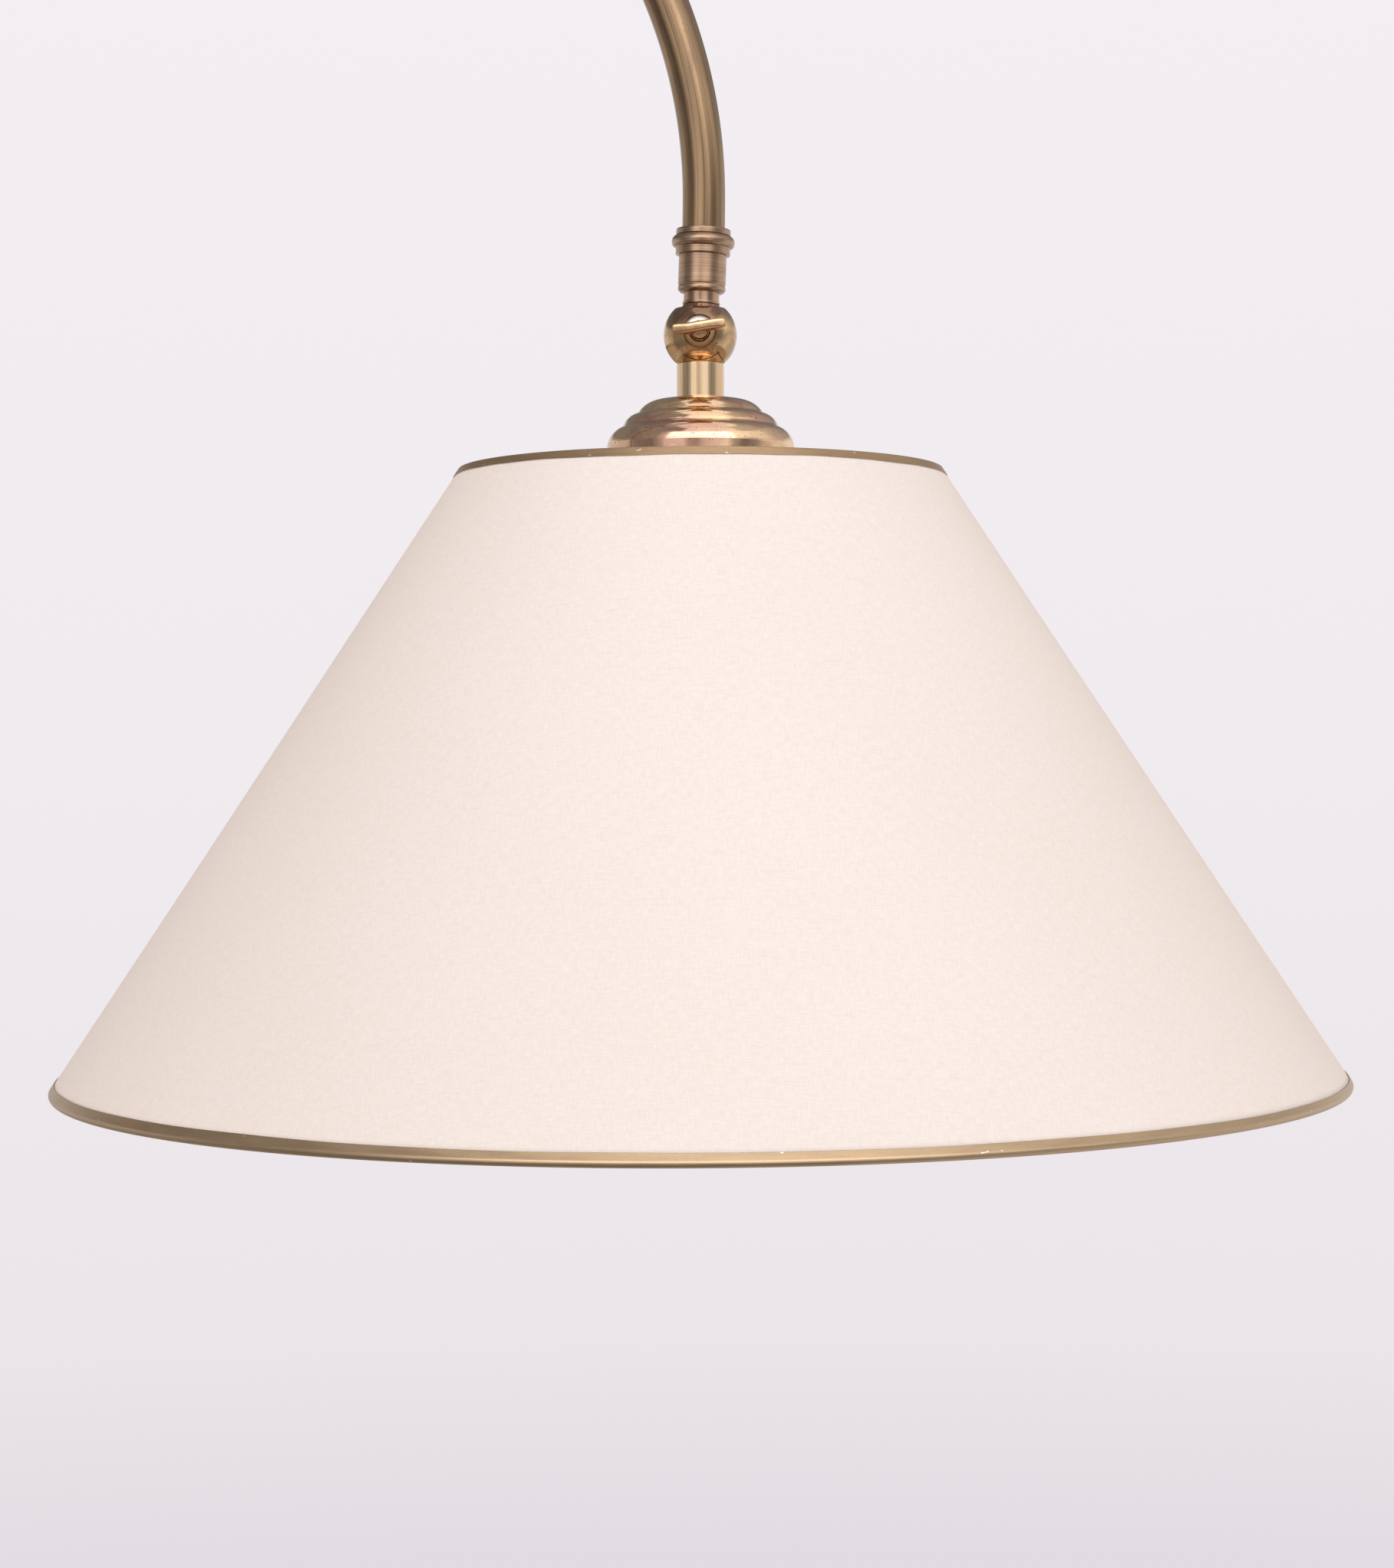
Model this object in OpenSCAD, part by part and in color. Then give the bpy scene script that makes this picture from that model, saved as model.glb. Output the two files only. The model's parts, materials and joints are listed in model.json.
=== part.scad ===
// Bridge floor lamp: weighted round base, telescopic column, swivelling
// arch arm, ball knuckle with a wing screw, and a wide coolie shade.
// Millimetres, +Z up. The origin is the centre of the base's underside,
// and the arm arches from the column at X = 0 towards +X.

/* [Base] */
// Diameter of the base
base_d = 280; // [230:5:340]
// Height of the base's lower tier above the pad
base_tier_1_h = 18; // [17:1:30]
// Height that the upper tier adds
base_tier_2_h = 9; // [6:1:14]
// Diameter of the upper tier
base_tier_2_d = 184; // [140:2:200]
// Thickness of the spun cover
cover_wall = 1.2; // [0.8:0.1:1.6]
// Thickness of the felt pad under the weight
pad_h = 2; // [1:0.5:4]
// Diameter of the pocket for the nut under the weight
pocket_d = 40; // [38:1:60]
// Outer diameter of the cord bush in the base's rim
bush_d = 9.6; // [8:0.2:11]
// Bore of the cord bush
bush_bore_d = 5.4; // [4:0.2:6.4]

/* [Column] */
// Outer diameter of the column
column_d = 22; // [20:0.5:25]
// Wall of the column tube
column_wall = 1.5; // [1:0.1:2]
// Length of the column tube
column_len = 895; // [700:5:1000]
// Diameter of the turned collar at the column's foot
foot_collar_d = 52; // [44:1:64]
// Height of the turned collar at the column's foot
foot_collar_h = 17; // [14:1:24]
// Diameter of the threaded stud that holds the column to the base
stud_d = 16; // [12:0.5:16]
// Diameter of the clamp collar at the column's top
clamp_d = 30; // [28:0.5:36]
// Height of the clamp collar
clamp_h = 40; // [36:1:50]
// Length of the nylon liner that guides the mast
liner_len = 34; // [24:1:50]

/* [Mast and arm] */
// Outer diameter of the mast and arm tube
tube_d = 15; // [14:0.1:15.4]
// Wall of the mast and arm tube
tube_wall = 1.1; // [1:0.1:1.4]
// How far the mast stands out of the column
mast_reveal = 285; // [200:5:380]
// Travel of the mast up, and also down
slide_travel = 150; // [60:5:160]
// Diameter of the turned rings at the swivel
swivel_d = 20; // [18.5:0.5:26]
// Height of each turned ring at the swivel
swivel_ring_h = 12; // [9:0.5:18]
// Straight leg of the arm above the swivel
arm_leg_len = 160; // [100:5:240]
// Horizontal distance from the column to the shade's axis
reach = 370; // [330:5:450]
// Lean of the arm's end from upright, in degrees
arm_end_lean = 2.1; // [1:0.1:4]
// Radius of the arm's slow bend from the arch into the ferrule
end_bend_r = 430; // [300:10:600]

/* [Ferrule and sleeve] */
// Diameter of the ferrule's top disc
ferrule_disc_d = 19.2; // [18:0.1:20]
// Height of the top disc
ferrule_disc_h = 2.1; // [2:0.1:4]
// Diameter of the ferrule's bead
ferrule_bead_d = 22; // [21:0.1:24]
// Height of the bead
ferrule_bead_h = 4.4; // [3:0.1:5]
// Diameter of the ring under the bead
ferrule_ring_d = 19.2; // [18:0.1:20.6]
// Height of the ring under the bead
ferrule_ring_h = 2.5; // [1:0.1:3]
// Depth of the seat in the ferrule that takes the arm tube's end
ferrule_seat_h = 3.2; // [2:0.1:3.6]
// Diameter of the plain sleeve
sleeve_d = 16.8; // [15:0.1:17.4]
// Height of the plain sleeve
sleeve_h = 13.3; // [10:0.1:18]
// Height of the turned groove above the sleeve's lower edge
sleeve_groove_z = 2.4; // [1.5:0.1:6]
// Length of narrow stem that shows under the sleeve
stem_len = 4.1; // [2:0.1:8]

/* [Knuckle] */
// Diameter of the ball
ball_d = 25.8; // [24.6:0.1:28]
// Height of the flat on top of the ball, from its centre
ball_top_z = 9.2; // [9:0.1:9.8]
// Depth of the flat under the ball, from its centre
ball_bottom_z = 10.2; // [9.8:0.1:10.8]
// Diameter of the shoulder on the ball's top
shoulder_d = 14.2; // [13.6:0.1:15]
// Height of the shoulder
shoulder_h = 1.6; // [1:0.1:3]
// Tilt of the head towards the column, in degrees
tilt_in = 30; // [15:1:45]
// Tilt of the head away from the column, in degrees
tilt_out = 0; // [0:1:30]
// Diameter of the recess round the wing screw
recess_d = 11.8; // [11:0.1:13]
// Depth of the recess, from the front of the ball
recess_h = 4.4; // [3.6:0.1:5.2]
// Diameter of the screws' threads
screw_d = 6; // [5:0.1:6]
// Width across the screws' wings
wing_w = 18.3; // [15:0.1:22]
// Thickness of the wings
wing_t = 2.4; // [1.8:0.1:3]
// Turn of the knuckle screw's wing from level, in degrees
wing_turn = 6; // [-45:1:45]

/* [Neck and cap] */
// Diameter of the neck sleeve
neck_d = 16.6; // [16.2:0.1:18]
// Height of the neck sleeve
neck_h = 12.7; // [9:0.1:18]
// Diameter of the cap's flat top
cap_top_d = 27; // [24:0.5:30]
// Diameter of the cap's first tier
cap_tier_1_d = 44; // [38:0.1:46]
// Diameter of the cap's second tier
cap_tier_2_d = 54.8; // [50:0.1:58]
// Diameter of the cap
cap_d = 66; // [62:0.5:76]
// Height of the first tier
cap_tier_1_h = 4.4; // [4:0.1:7]
// Height of the second tier
cap_tier_2_h = 4.8; // [4:0.1:7]
// Height of the third tier
cap_tier_3_h = 10.4; // [9:0.1:14]
// Thickness of the spun cap
cap_wall = 0.9; // [0.6:0.1:1.2]

/* [Shade] */
// Diameter of the shade's top edge
shade_top_d = 168; // [150:1:220]
// Diameter of the shade's bottom edge
shade_bottom_d = 450; // [380:5:480]
// Height of the shade
shade_h = 215.5; // [170:0.5:240]
// Depth of the shade's top edge below the cap's rim
shade_drop = 5.4; // [5:0.1:14]
// Thickness of the laminated fabric
shade_wall = 1.2; // [0.8:0.1:2]
// Diameter of the rings' wire
wire_d = 3; // [2.4:0.1:3.6]
// Thickness of the edge tape
tape_t = 0.35; // [0.2:0.05:0.6]
// Width of tape that shows at the top edge
top_tape_w = 3; // [2.6:0.1:8]
// Width of tape that shows above the bottom ring
bottom_tape_w = 3.3; // [2:0.1:8]
// Number of spokes in the shade's fitter
spoke_count = 3; // [3:1:4]

/* [Lampholder and bulb] */
// Outer diameter of the nipple that runs through the head
nipple_d = 9.9; // [9.5:0.1:10]
// Diameter of the lampholder
holder_d = 39; // [36:0.5:44]
// Height of the lampholder's cap
holder_cap_h = 14; // [12:0.5:20]
// Height of the lampholder's body
holder_h = 38; // [36:0.5:48]
// Diameter of the bulb
bulb_d = 60; // [45:1:80]
// Height of the bulb's glass
bulb_h = 84; // [80:1:110]

/* [Fits] */
// Clearance of pieces that are fixed in each other
fit_gap = 0.05; // [0.03:0.01:0.1]
// Radial clearance of pieces that turn or slide in each other
run_gap = 0.08; // [0.05:0.01:0.1]
// Clearance round curved faces that pass each other in the ball
pass_gap = 0.2; // [0.15:0.05:0.3]

/* [Hidden] */
$fn = 96;

// Base and column, from the floor up
base_r = base_d/2;
tier_2_r = base_tier_2_d/2;
rim_h = pad_h + base_tier_1_h*0.72;
tier_1_z = pad_h + base_tier_1_h;
crown_rise = 2;
base_top_z = tier_1_z + crown_rise + base_tier_2_h;
shelf_r = base_r - 15;
shelf_in_r = tier_2_r + 6;
crown_r = tier_2_r - 10;
column_r = column_d/2;
column_in_r = column_r - column_wall;
column_top_z = base_top_z + column_len;
pocket_top_z = pad_h + 14;
washer_h = 2;
base_nut_h = 8;
base_nut_d = 27;
stud_r = stud_d/2;
stud_end_z = pocket_top_z - washer_h - base_nut_h - 2;
cord_bore_d = 7;
foot_plug_h = 28;
bush_z = pad_h + 6.6;
bush_flange_d = bush_d + 2.6;
bush_flange_h = 1.6;
pad_margin = 4;

// Clamp collar, liner and mast
tube_r = tube_d/2;
tube_in_r = tube_r - tube_wall;
clamp_r = clamp_d/2;
clamp_lap = clamp_h*0.45;
clamp_top_z = column_top_z + clamp_h - clamp_lap;
clamp_screw_z = column_top_z + (clamp_h - clamp_lap)*0.46;
clamp_boss_d = 13;
clamp_boss_y = clamp_r + 3;
liner_wall = column_in_r - tube_r;
liner_top_z = column_top_z;
liner_z = liner_top_z - liner_len;
mast_bush_len = 20;
mast_z = liner_z - slide_travel - mast_bush_len - 1;
mast_top_z = clamp_top_z + mast_reveal;

// Swivel on top of the mast
swivel_r = swivel_d/2;
ring_lip_h = 2.4;
socket_wall = 1.2;
socket_len = 24;
journal_r = tube_in_r - fit_gap - socket_wall;
swivel_z = mast_top_z + swivel_ring_h;
spigot_up = 22;
spigot_bore_r = journal_r - 1.6;
clip_h = 1;
clip_gap = 0.3;

// Arch of the arm, and the head that hangs from its end
ferrule_h = ferrule_disc_h + ferrule_bead_h + ferrule_ring_h;
shoulder_z = ball_top_z + shoulder_h;
sleeve_z = shoulder_z + stem_len;
sleeve_top_z = sleeve_z + sleeve_h;
ferrule_top_z = sleeve_top_z + ferrule_h;
tail_len = ferrule_top_z - ferrule_seat_h;
arc_r = (reach + tail_len*sin(arm_end_lean) + end_bend_r*(1 - cos(arm_end_lean)))/2;
arc_z = swivel_z + arm_leg_len;
ball_z = arc_z - end_bend_r*sin(arm_end_lean) - tail_len*cos(arm_end_lean);
stem_r = tube_in_r - fit_gap - 0.05;
stem_wall = 1.2;

// Ball knuckle, from the ball's centre; angles run from +Z towards +X
ball_r = ball_d/2;
face_gap = 0.05;
top_hub_r = ball_top_z - 0.7;
low_hub_r = ball_bottom_z - 0.7;
top_hood_r = top_hub_r + pass_gap;
low_hood_r = low_hub_r + pass_gap;
hood_half = 40;
shoulder_root_h = 0.35;
stop_margin = 1.5;
wire_way_d = 3.6;
wire_way_y = wire_way_d/2 + 0.8;
chamber_in_r = screw_d/2 + 1.4;
chamber_r = top_hub_r - 1.5;
chamber_w = 5;
screw_r = screw_d/2;
recess_y = ball_r - recess_h;
knuckle_thread_y = ball_r - 4;
knuckle_spigot_h = 10;
knuckle_washer_h = 0.8;
washer_d = recess_d - 1;

// Wing screws, from the face that their collar bears on
screw_collar_d = 8.4;
screw_collar_h = 2;
screw_neck_d = 6.4;
screw_neck_h = 2.6;
wing_h = 9;
wing_root_w = 7;
wing_tip_r = 1.4;

// Neck, cap and what is clamped under it, from the ball's centre
neck_r = neck_d/2;
neck_wall = 1.2;
neck_z = -ball_bottom_z - neck_h;
cap_h = cap_tier_1_h + cap_tier_2_h + cap_tier_3_h;
cap_z = neck_z - cap_h;
nipple_r = nipple_d/2;
nipple_bore_r = nipple_r - 1.3;
head_spigot_r = neck_r - neck_wall - fit_gap;
head_spigot_h = neck_h - 1.4;
nipple_top_z = -ball_bottom_z - 2.2;
cap_nut_d = 16;
cap_nut_h = 4;
hub_h = 1.6;
shade_top_z = cap_z - shade_drop;
hub_z = cap_z - 4;
spoke_d = wire_d - 0.4;
fitter_hub_d = 28;
holder_top_z = hub_z - hub_h;
holder_cap_wall = 2;
nipple_z = holder_top_z - 6;
holder_cap_z = holder_top_z - holder_cap_h;
holder_z = holder_cap_z - holder_h;
holder_r = holder_d/2;
shell_d = 28.4;
shell_t = 0.4;
shell_h = 25;
contact_d = 8;
contact_h = 1.4;
floor_h = 7;
socket_top_z = holder_cap_z - floor_h;
bulb_base_d = 26.4;
bulb_base_h = 25;
bulb_tip_d = 10;
bulb_tip_h = 2;
bulb_base_z = socket_top_z - contact_h - bulb_tip_h - bulb_base_h;
glass_t = 1;
bulb_r = bulb_d/2;
bulb_neck_r = bulb_base_d/2 - 0.4;
bulb_ball_z = bulb_base_z - bulb_h + bulb_r;
bulb_end_z = bulb_base_z - bulb_h;

// Shade: slope of the cone, and its wall measured level
shade_top_r = shade_top_d/2;
shade_bottom_r = shade_bottom_d/2;
shade_slope = (shade_bottom_r - shade_top_r)/shade_h;
slope_len = sqrt(1 + shade_slope*shade_slope);
skin_w = shade_wall*slope_len;
tape_w = tape_t*slope_len;
wire_r = wire_d/2;
shade_bottom_z = shade_top_z - shade_h;
bottom_wire_z = shade_bottom_z + wire_r + tape_t;
skin_end_z = bottom_wire_z + wire_r;
up_slope = [-shade_slope, 1]/slope_len;
off_slope = [1, shade_slope]/slope_len;
top_wire_r = shade_top_r - skin_w - wire_r - 0.1;
top_wire_z = shade_top_z - wire_r - tape_t;

// Colours of the finishes
antique = [0.56, 0.46, 0.33];
polished = [0.80, 0.66, 0.42];
bronzed = [0.48, 0.37, 0.27];
plain_brass = [0.72, 0.60, 0.36];
iron = [0.25, 0.25, 0.26];
felt = [0.16, 0.18, 0.16];
nylon = [0.88, 0.87, 0.82];
fabric = [0.96, 0.92, 0.87];
tape = [0.56, 0.49, 0.38];
wire = [0.85, 0.85, 0.83];
phenolic = [0.12, 0.11, 0.10];
opal = [0.97, 0.96, 0.93];

// ---- Helpers ----

// Points of a round arc from a to b that bows out by sag to the left of
// the way from a to b, without its first point
function bow(a, b, sag, steps = 8) =
    let (chord = b - a,
         half = norm(chord)/2,
         r = (half*half + sag*sag)/(2*abs(sag)),
         side = sag > 0 ? 1 : -1,
         left = [-chord[1], chord[0]]/norm(chord),
         centre = (a + b)/2 - side*left*(r - abs(sag)),
         first = atan2(a[1] - centre[1], a[0] - centre[0]),
         sweep = -side*2*asin(half/r))
    [for (i = [1:steps]) centre + r*[cos(first + sweep*i/steps), sin(first + sweep*i/steps)]];

// Wall of a round piece between two heights
module ring(r_out, r_in, low, high) {
    rotate_extrude() translate([r_in, low]) square([r_out - r_in, high - low]);
}

// Frame of the hanging head: the ball's centre, upright
module at_head() {
    translate([reach, 0, ball_z]) children();
}

// Frame of the arm's end: the ball's centre, along the leaning end
module at_arm_end() {
    at_head() rotate([0, arm_end_lean, 0]) children();
}

// Lies a piece made along +Z down along the hinge, +Z towards the front
module to_front() {
    rotate([90, 0, 0]) children();
}

// ---- Base and column ----

// Outline of the two-tier base, drawn in by inset on every face
function base_outline(inset) =
    let (rim = [base_r - inset, rim_h - inset],
         shelf = [shelf_r - inset, tier_1_z - inset],
         step_foot = [shelf_in_r - inset, tier_1_z + crown_rise/2 - inset],
         step_top = [crown_r - inset, base_top_z - crown_rise/2 - inset])
    concat([[0, pad_h], [base_r - inset, pad_h], rim],
           bow(rim, shelf, -3.2), [step_foot],
           bow(step_foot, step_top, -2.6),
           [[foot_collar_d/2, base_top_z - inset], [0, base_top_z - inset]]);

module base_pad() {
    color(felt) cylinder(r = base_r - pad_margin, h = pad_h);
}

module base_weight() {
    color(iron) difference() {
        rotate_extrude() polygon(base_outline(cover_wall + fit_gap));
        translate([0, 0, -1]) cylinder(d = pocket_d, h = pocket_top_z + 1);
        translate([0, 0, -1]) cylinder(r = stud_r + fit_gap, h = base_top_z + 2);
        // channel that leads the cord from the rim to the pocket
        translate([-base_r, -bush_d/2 - 0.2, pad_h - 1])
            cube([base_r, bush_d + 0.4, bush_z + bush_d/2 + 0.2 - pad_h + 1]);
    }
}

module base_cover() {
    color(antique) difference() {
        rotate_extrude() difference() {
            polygon(base_outline(0));
            polygon(base_outline(cover_wall));
            square([base_r - cover_wall, pad_h + 0.01]);
        }
        translate([0, 0, pad_h]) cylinder(r = stud_r + fit_gap, h = base_top_z);
        translate([-base_r + cover_wall + 6, 0, bush_z]) rotate([0, -90, 0])
            cylinder(d = bush_d + 2*fit_gap, h = cover_wall + 12);
    }
}

module base_washer() {
    color(plain_brass) ring(pocket_d/2 - 2, stud_r + fit_gap, pocket_top_z - washer_h, pocket_top_z);
}

module base_nut() {
    color(plain_brass) translate([0, 0, pocket_top_z - washer_h - base_nut_h]) difference() {
        cylinder(d = base_nut_d, h = base_nut_h, $fn = 6);
        translate([0, 0, -1]) cylinder(r = stud_r + fit_gap, h = base_nut_h + 2);
    }
}

// Bush that the cord would pass through, in the rim away from the arm
module cord_bush() {
    color(phenolic) translate([-base_r - bush_flange_h, 0, bush_z]) rotate([0, 90, 0]) difference() {
        union() {
            cylinder(d = bush_flange_d, h = bush_flange_h);
            cylinder(d = bush_d, h = bush_flange_h + cover_wall + 7);
        }
        translate([0, 0, -1]) cylinder(d = bush_bore_d, h = bush_flange_h + cover_wall + 9);
    }
}

// Plug brazed into the column, with the stud that the nut pulls down on
module column_foot() {
    color(plain_brass) difference() {
        union() {
            translate([0, 0, base_top_z]) cylinder(r = column_in_r - fit_gap, h = foot_plug_h);
            translate([0, 0, stud_end_z]) cylinder(r = stud_r, h = base_top_z - stud_end_z + 1);
        }
        translate([0, 0, stud_end_z - 1])
            cylinder(d = cord_bore_d, h = base_top_z + foot_plug_h - stud_end_z + 2);
    }
}

module column_tube() {
    color(antique) ring(column_r, column_in_r, base_top_z, column_top_z);
}

// Turned collar that hides the joint of column and base
module foot_collar() {
    r_in = column_r + fit_gap;
    bead_r = foot_collar_h*0.14;
    cone_r = column_r + 4;
    color(antique) translate([0, 0, base_top_z]) rotate_extrude() {
        polygon(concat([[r_in, 0], [foot_collar_d/2, 0], [foot_collar_d/2, foot_collar_h*0.16]],
            bow([foot_collar_d/2, foot_collar_h*0.16], [cone_r, foot_collar_h*0.62], 2.4),
            [[cone_r, foot_collar_h*0.66], [column_r + 2.4, foot_collar_h*0.7],
             [column_r + 2.4, foot_collar_h], [r_in, foot_collar_h]]));
        translate([column_r + 2.4, foot_collar_h - bead_r - 0.6]) circle(r = bead_r);
    }
}

// Turned collar with the boss of the height screw
module clamp_collar() {
    low = column_top_z - clamp_lap;
    color(antique) difference() {
        union() {
            rotate_extrude() difference() {
                union() {
                    translate([0, low]) square([clamp_r - 1.5, clamp_h]);
                    translate([clamp_r - 1.5, low + 3]) circle(r = 1.5);
                    translate([clamp_r - 1.5, clamp_top_z - 3]) circle(r = 1.5);
                }
                square([column_r + fit_gap, column_top_z]);
                translate([0, column_top_z - 1]) square([tube_r + run_gap, clamp_h]);
            }
            translate([0, 0, clamp_screw_z]) to_front() difference() {
                cylinder(d = clamp_boss_d, h = clamp_boss_y);
                cylinder(r = column_r, h = column_r - 1, center = true);
                translate([0, 0, -1]) cylinder(r = tube_r, h = tube_r + 1);
            }
        }
        translate([0, 0, column_top_z - 1]) cylinder(r = tube_r + run_gap, h = clamp_h);
        translate([0, 0, clamp_screw_z]) to_front() cylinder(r = screw_r + run_gap, h = clamp_boss_y + 1);
    }
}

// Nylon liner that guides the mast in the column's mouth
module guide_liner() {
    color(nylon) ring(column_in_r - fit_gap, tube_r + run_gap, liner_z, liner_top_z);
}

// Flat wing with round tips and waisted sides, on a collar and a shank
module wing_screw(shank) {
    wing_z = screw_collar_h + screw_neck_h;
    tip_x = wing_w/2 - wing_tip_r;
    tip_z = wing_z + wing_h - wing_tip_r;
    edge = [wing_w/2, tip_z];
    root = [wing_root_w/2, wing_z - 1];
    flank = bow(edge, root, 1.6);
    color(bronzed) to_front() {
        translate([0, 0, -shank]) cylinder(r = screw_r, h = shank + 1);
        cylinder(d = screw_collar_d, h = screw_collar_h);
        cylinder(d1 = screw_collar_d - 1, d2 = screw_neck_d, h = wing_z + 1.5);
        rotate([90, 0, 0]) translate([0, 0, -wing_t/2]) linear_extrude(wing_t) {
            translate([tip_x, tip_z]) circle(r = wing_tip_r);
            translate([-tip_x, tip_z]) circle(r = wing_tip_r);
            translate([-tip_x, tip_z]) square([2*tip_x, wing_tip_r]);
            polygon(concat([[-wing_w/2, tip_z], edge], flank,
                [for (i = [len(flank) - 1:-1:0]) [-flank[i][0], flank[i][1]]]));
        }
    }
}

module height_screw() {
    translate([0, -clamp_boss_y, clamp_screw_z]) wing_screw(clamp_boss_y - tube_r - fit_gap);
}

// ---- Mast and swivel ----

module mast_tube() {
    color(antique) ring(tube_r, tube_in_r, mast_z, mast_top_z);
}

// Nylon shoe on the mast's lower end; the liner stops it at the top
module mast_bush() {
    color(nylon) ring(column_in_r - run_gap, tube_r + fit_gap, mast_z, mast_z + mast_bush_len);
}

// Socket in the mast's top that the arm's journal turns in
module swivel_socket() {
    color(antique) {
        ring(tube_in_r - fit_gap, journal_r + run_gap, mast_top_z - socket_len, mast_top_z);
        rotate_extrude() {
            translate([journal_r + run_gap, mast_top_z])
                square([swivel_r - 1.2 - journal_r - run_gap, swivel_ring_h]);
            translate([swivel_r - 1.2, mast_top_z + ring_lip_h/2]) circle(d = ring_lip_h);
            translate([swivel_r - 1.2, swivel_z - ring_lip_h/2]) circle(d = ring_lip_h);
        }
    }
}

// Journal brazed into the arm's lower end
module swivel_spigot() {
    color(plain_brass) difference() {
        union() {
            translate([0, 0, mast_top_z - socket_len - clip_gap - 2*clip_h])
                cylinder(r = journal_r, h = swivel_z - mast_top_z + socket_len + clip_gap + 2*clip_h);
            translate([0, 0, swivel_z]) cylinder(r = tube_in_r - fit_gap, h = spigot_up);
        }
        translate([0, 0, mast_z]) cylinder(r = spigot_bore_r, h = swivel_z + spigot_up - mast_z + 1);
        // groove for the retaining clip
        ring(journal_r + 1, journal_r - 0.7, mast_top_z - socket_len - clip_gap - clip_h,
             mast_top_z - socket_len - clip_gap);
    }
}

// Split clip that keeps the journal in the socket
module swivel_clip() {
    low = mast_top_z - socket_len - clip_gap - clip_h + 0.05;
    color(wire) rotate([0, 0, 25]) translate([0, 0, low]) rotate_extrude(angle = 310)
        translate([journal_r - 0.65, 0]) square([tube_in_r - journal_r + 0.35, clip_h - 0.1]);
}

// Turned ring at the arm's root, the pair of the socket's ring
module root_collar() {
    r_in = tube_r + fit_gap;
    color(antique) rotate_extrude() {
        translate([r_in, swivel_z]) square([swivel_r - 1.2 - r_in, swivel_ring_h]);
        translate([swivel_r - 1.2, swivel_z + ring_lip_h/2]) circle(d = ring_lip_h);
        translate([swivel_r - 1.2, swivel_z + swivel_ring_h - ring_lip_h/2]) circle(d = ring_lip_h);
    }
}

// ---- Arm ----

// Section of the tube carried round a bend of radius r
module tube_bend(r, angle) {
    rotate_extrude(angle = angle) translate([r, 0]) difference() {
        circle(r = tube_r);
        circle(r = tube_in_r);
    }
}

// Bent tube: a straight leg, half a turn, and a slow bend into the ferrule
module arm_tube() {
    color(antique) {
        ring(tube_r, tube_in_r, swivel_z, arc_z);
        translate([arc_r, 0, arc_z]) rotate([90, 0, 0]) tube_bend(arc_r, 180);
        translate([2*arc_r - end_bend_r, 0, arc_z]) rotate([-90, 0, 0]) tube_bend(end_bend_r, arm_end_lean);
    }
}

// Turned ferrule: ring, bead and top disc
module arm_ferrule() {
    r_in = stem_r + fit_gap;
    bead_z = sleeve_top_z + ferrule_ring_h;
    disc_z = bead_z + ferrule_bead_h;
    bead_end_r = ferrule_disc_d/2 - 0.5;
    belly = [ferrule_bead_d/2, bead_z + ferrule_bead_h*0.3];
    color(antique) at_arm_end() rotate_extrude() difference() {
        union() {
            translate([r_in, sleeve_top_z]) square([ferrule_ring_d/2 - r_in, ferrule_ring_h]);
            polygon(concat([[r_in, bead_z], [bead_end_r + 0.5, bead_z]],
                bow([bead_end_r + 0.5, bead_z], belly, -0.35),
                bow(belly, [bead_end_r, disc_z], -0.8),
                [[r_in, disc_z]]));
            polygon([[r_in, disc_z], [ferrule_disc_d/2, disc_z],
                [ferrule_disc_d/2, ferrule_top_z - 0.5], [ferrule_disc_d/2 - 0.5, ferrule_top_z],
                [r_in, ferrule_top_z]]);
        }
        translate([0, tail_len]) square([tube_r + fit_gap, ferrule_seat_h + 1]);
    }
}

// Plain sleeve with a turned groove and a chamfered lower edge
module end_sleeve() {
    r = sleeve_d/2;
    groove_z = sleeve_z + sleeve_groove_z;
    color(antique) at_arm_end() rotate_extrude() difference() {
        polygon([[stem_r + fit_gap, sleeve_z], [r - 0.9, sleeve_z], [r, sleeve_z + 0.9],
            [r, sleeve_top_z], [stem_r + fit_gap, sleeve_top_z]]);
        translate([r + 0.15, groove_z]) circle(r = 0.45);
    }
}

// Tube that joins the knuckle to the arm, inside the sleeve and the arm
module joint_stem() {
    color(antique) at_arm_end() {
        ring(stem_r, stem_r - stem_wall, shoulder_z, ferrule_top_z - 1);
        ring(stem_r + 0.35, stem_r - stem_wall, shoulder_z, shoulder_z + 0.7);
    }
}

// ---- Knuckle ----

// Band of the ball between two angles, outside radius r_in, along the hinge
module ball_band(r_in, from, to, low, high) {
    to_front() rotate([0, 0, 90 - to]) rotate_extrude(angle = to - from)
        translate([r_in, low]) square([ball_r + 2 - r_in, high - low]);
}

// Ball with its flats, solid
module whole_ball() {
    intersection() {
        sphere(r = ball_r);
        translate([0, 0, -ball_bottom_z]) cylinder(r = ball_r + 1, h = ball_bottom_z + ball_top_z);
    }
}

// Half of the ball: the front one for side -1, the back one for side 1
module half_ball(side) {
    intersection() {
        whole_ball();
        translate([-ball_r - 1, side > 0 ? face_gap : -ball_r - 1 - face_gap, -ball_r - 1])
            cube([2*ball_r + 2, ball_r + 1, 2*ball_r + 2]);
    }
}

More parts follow.
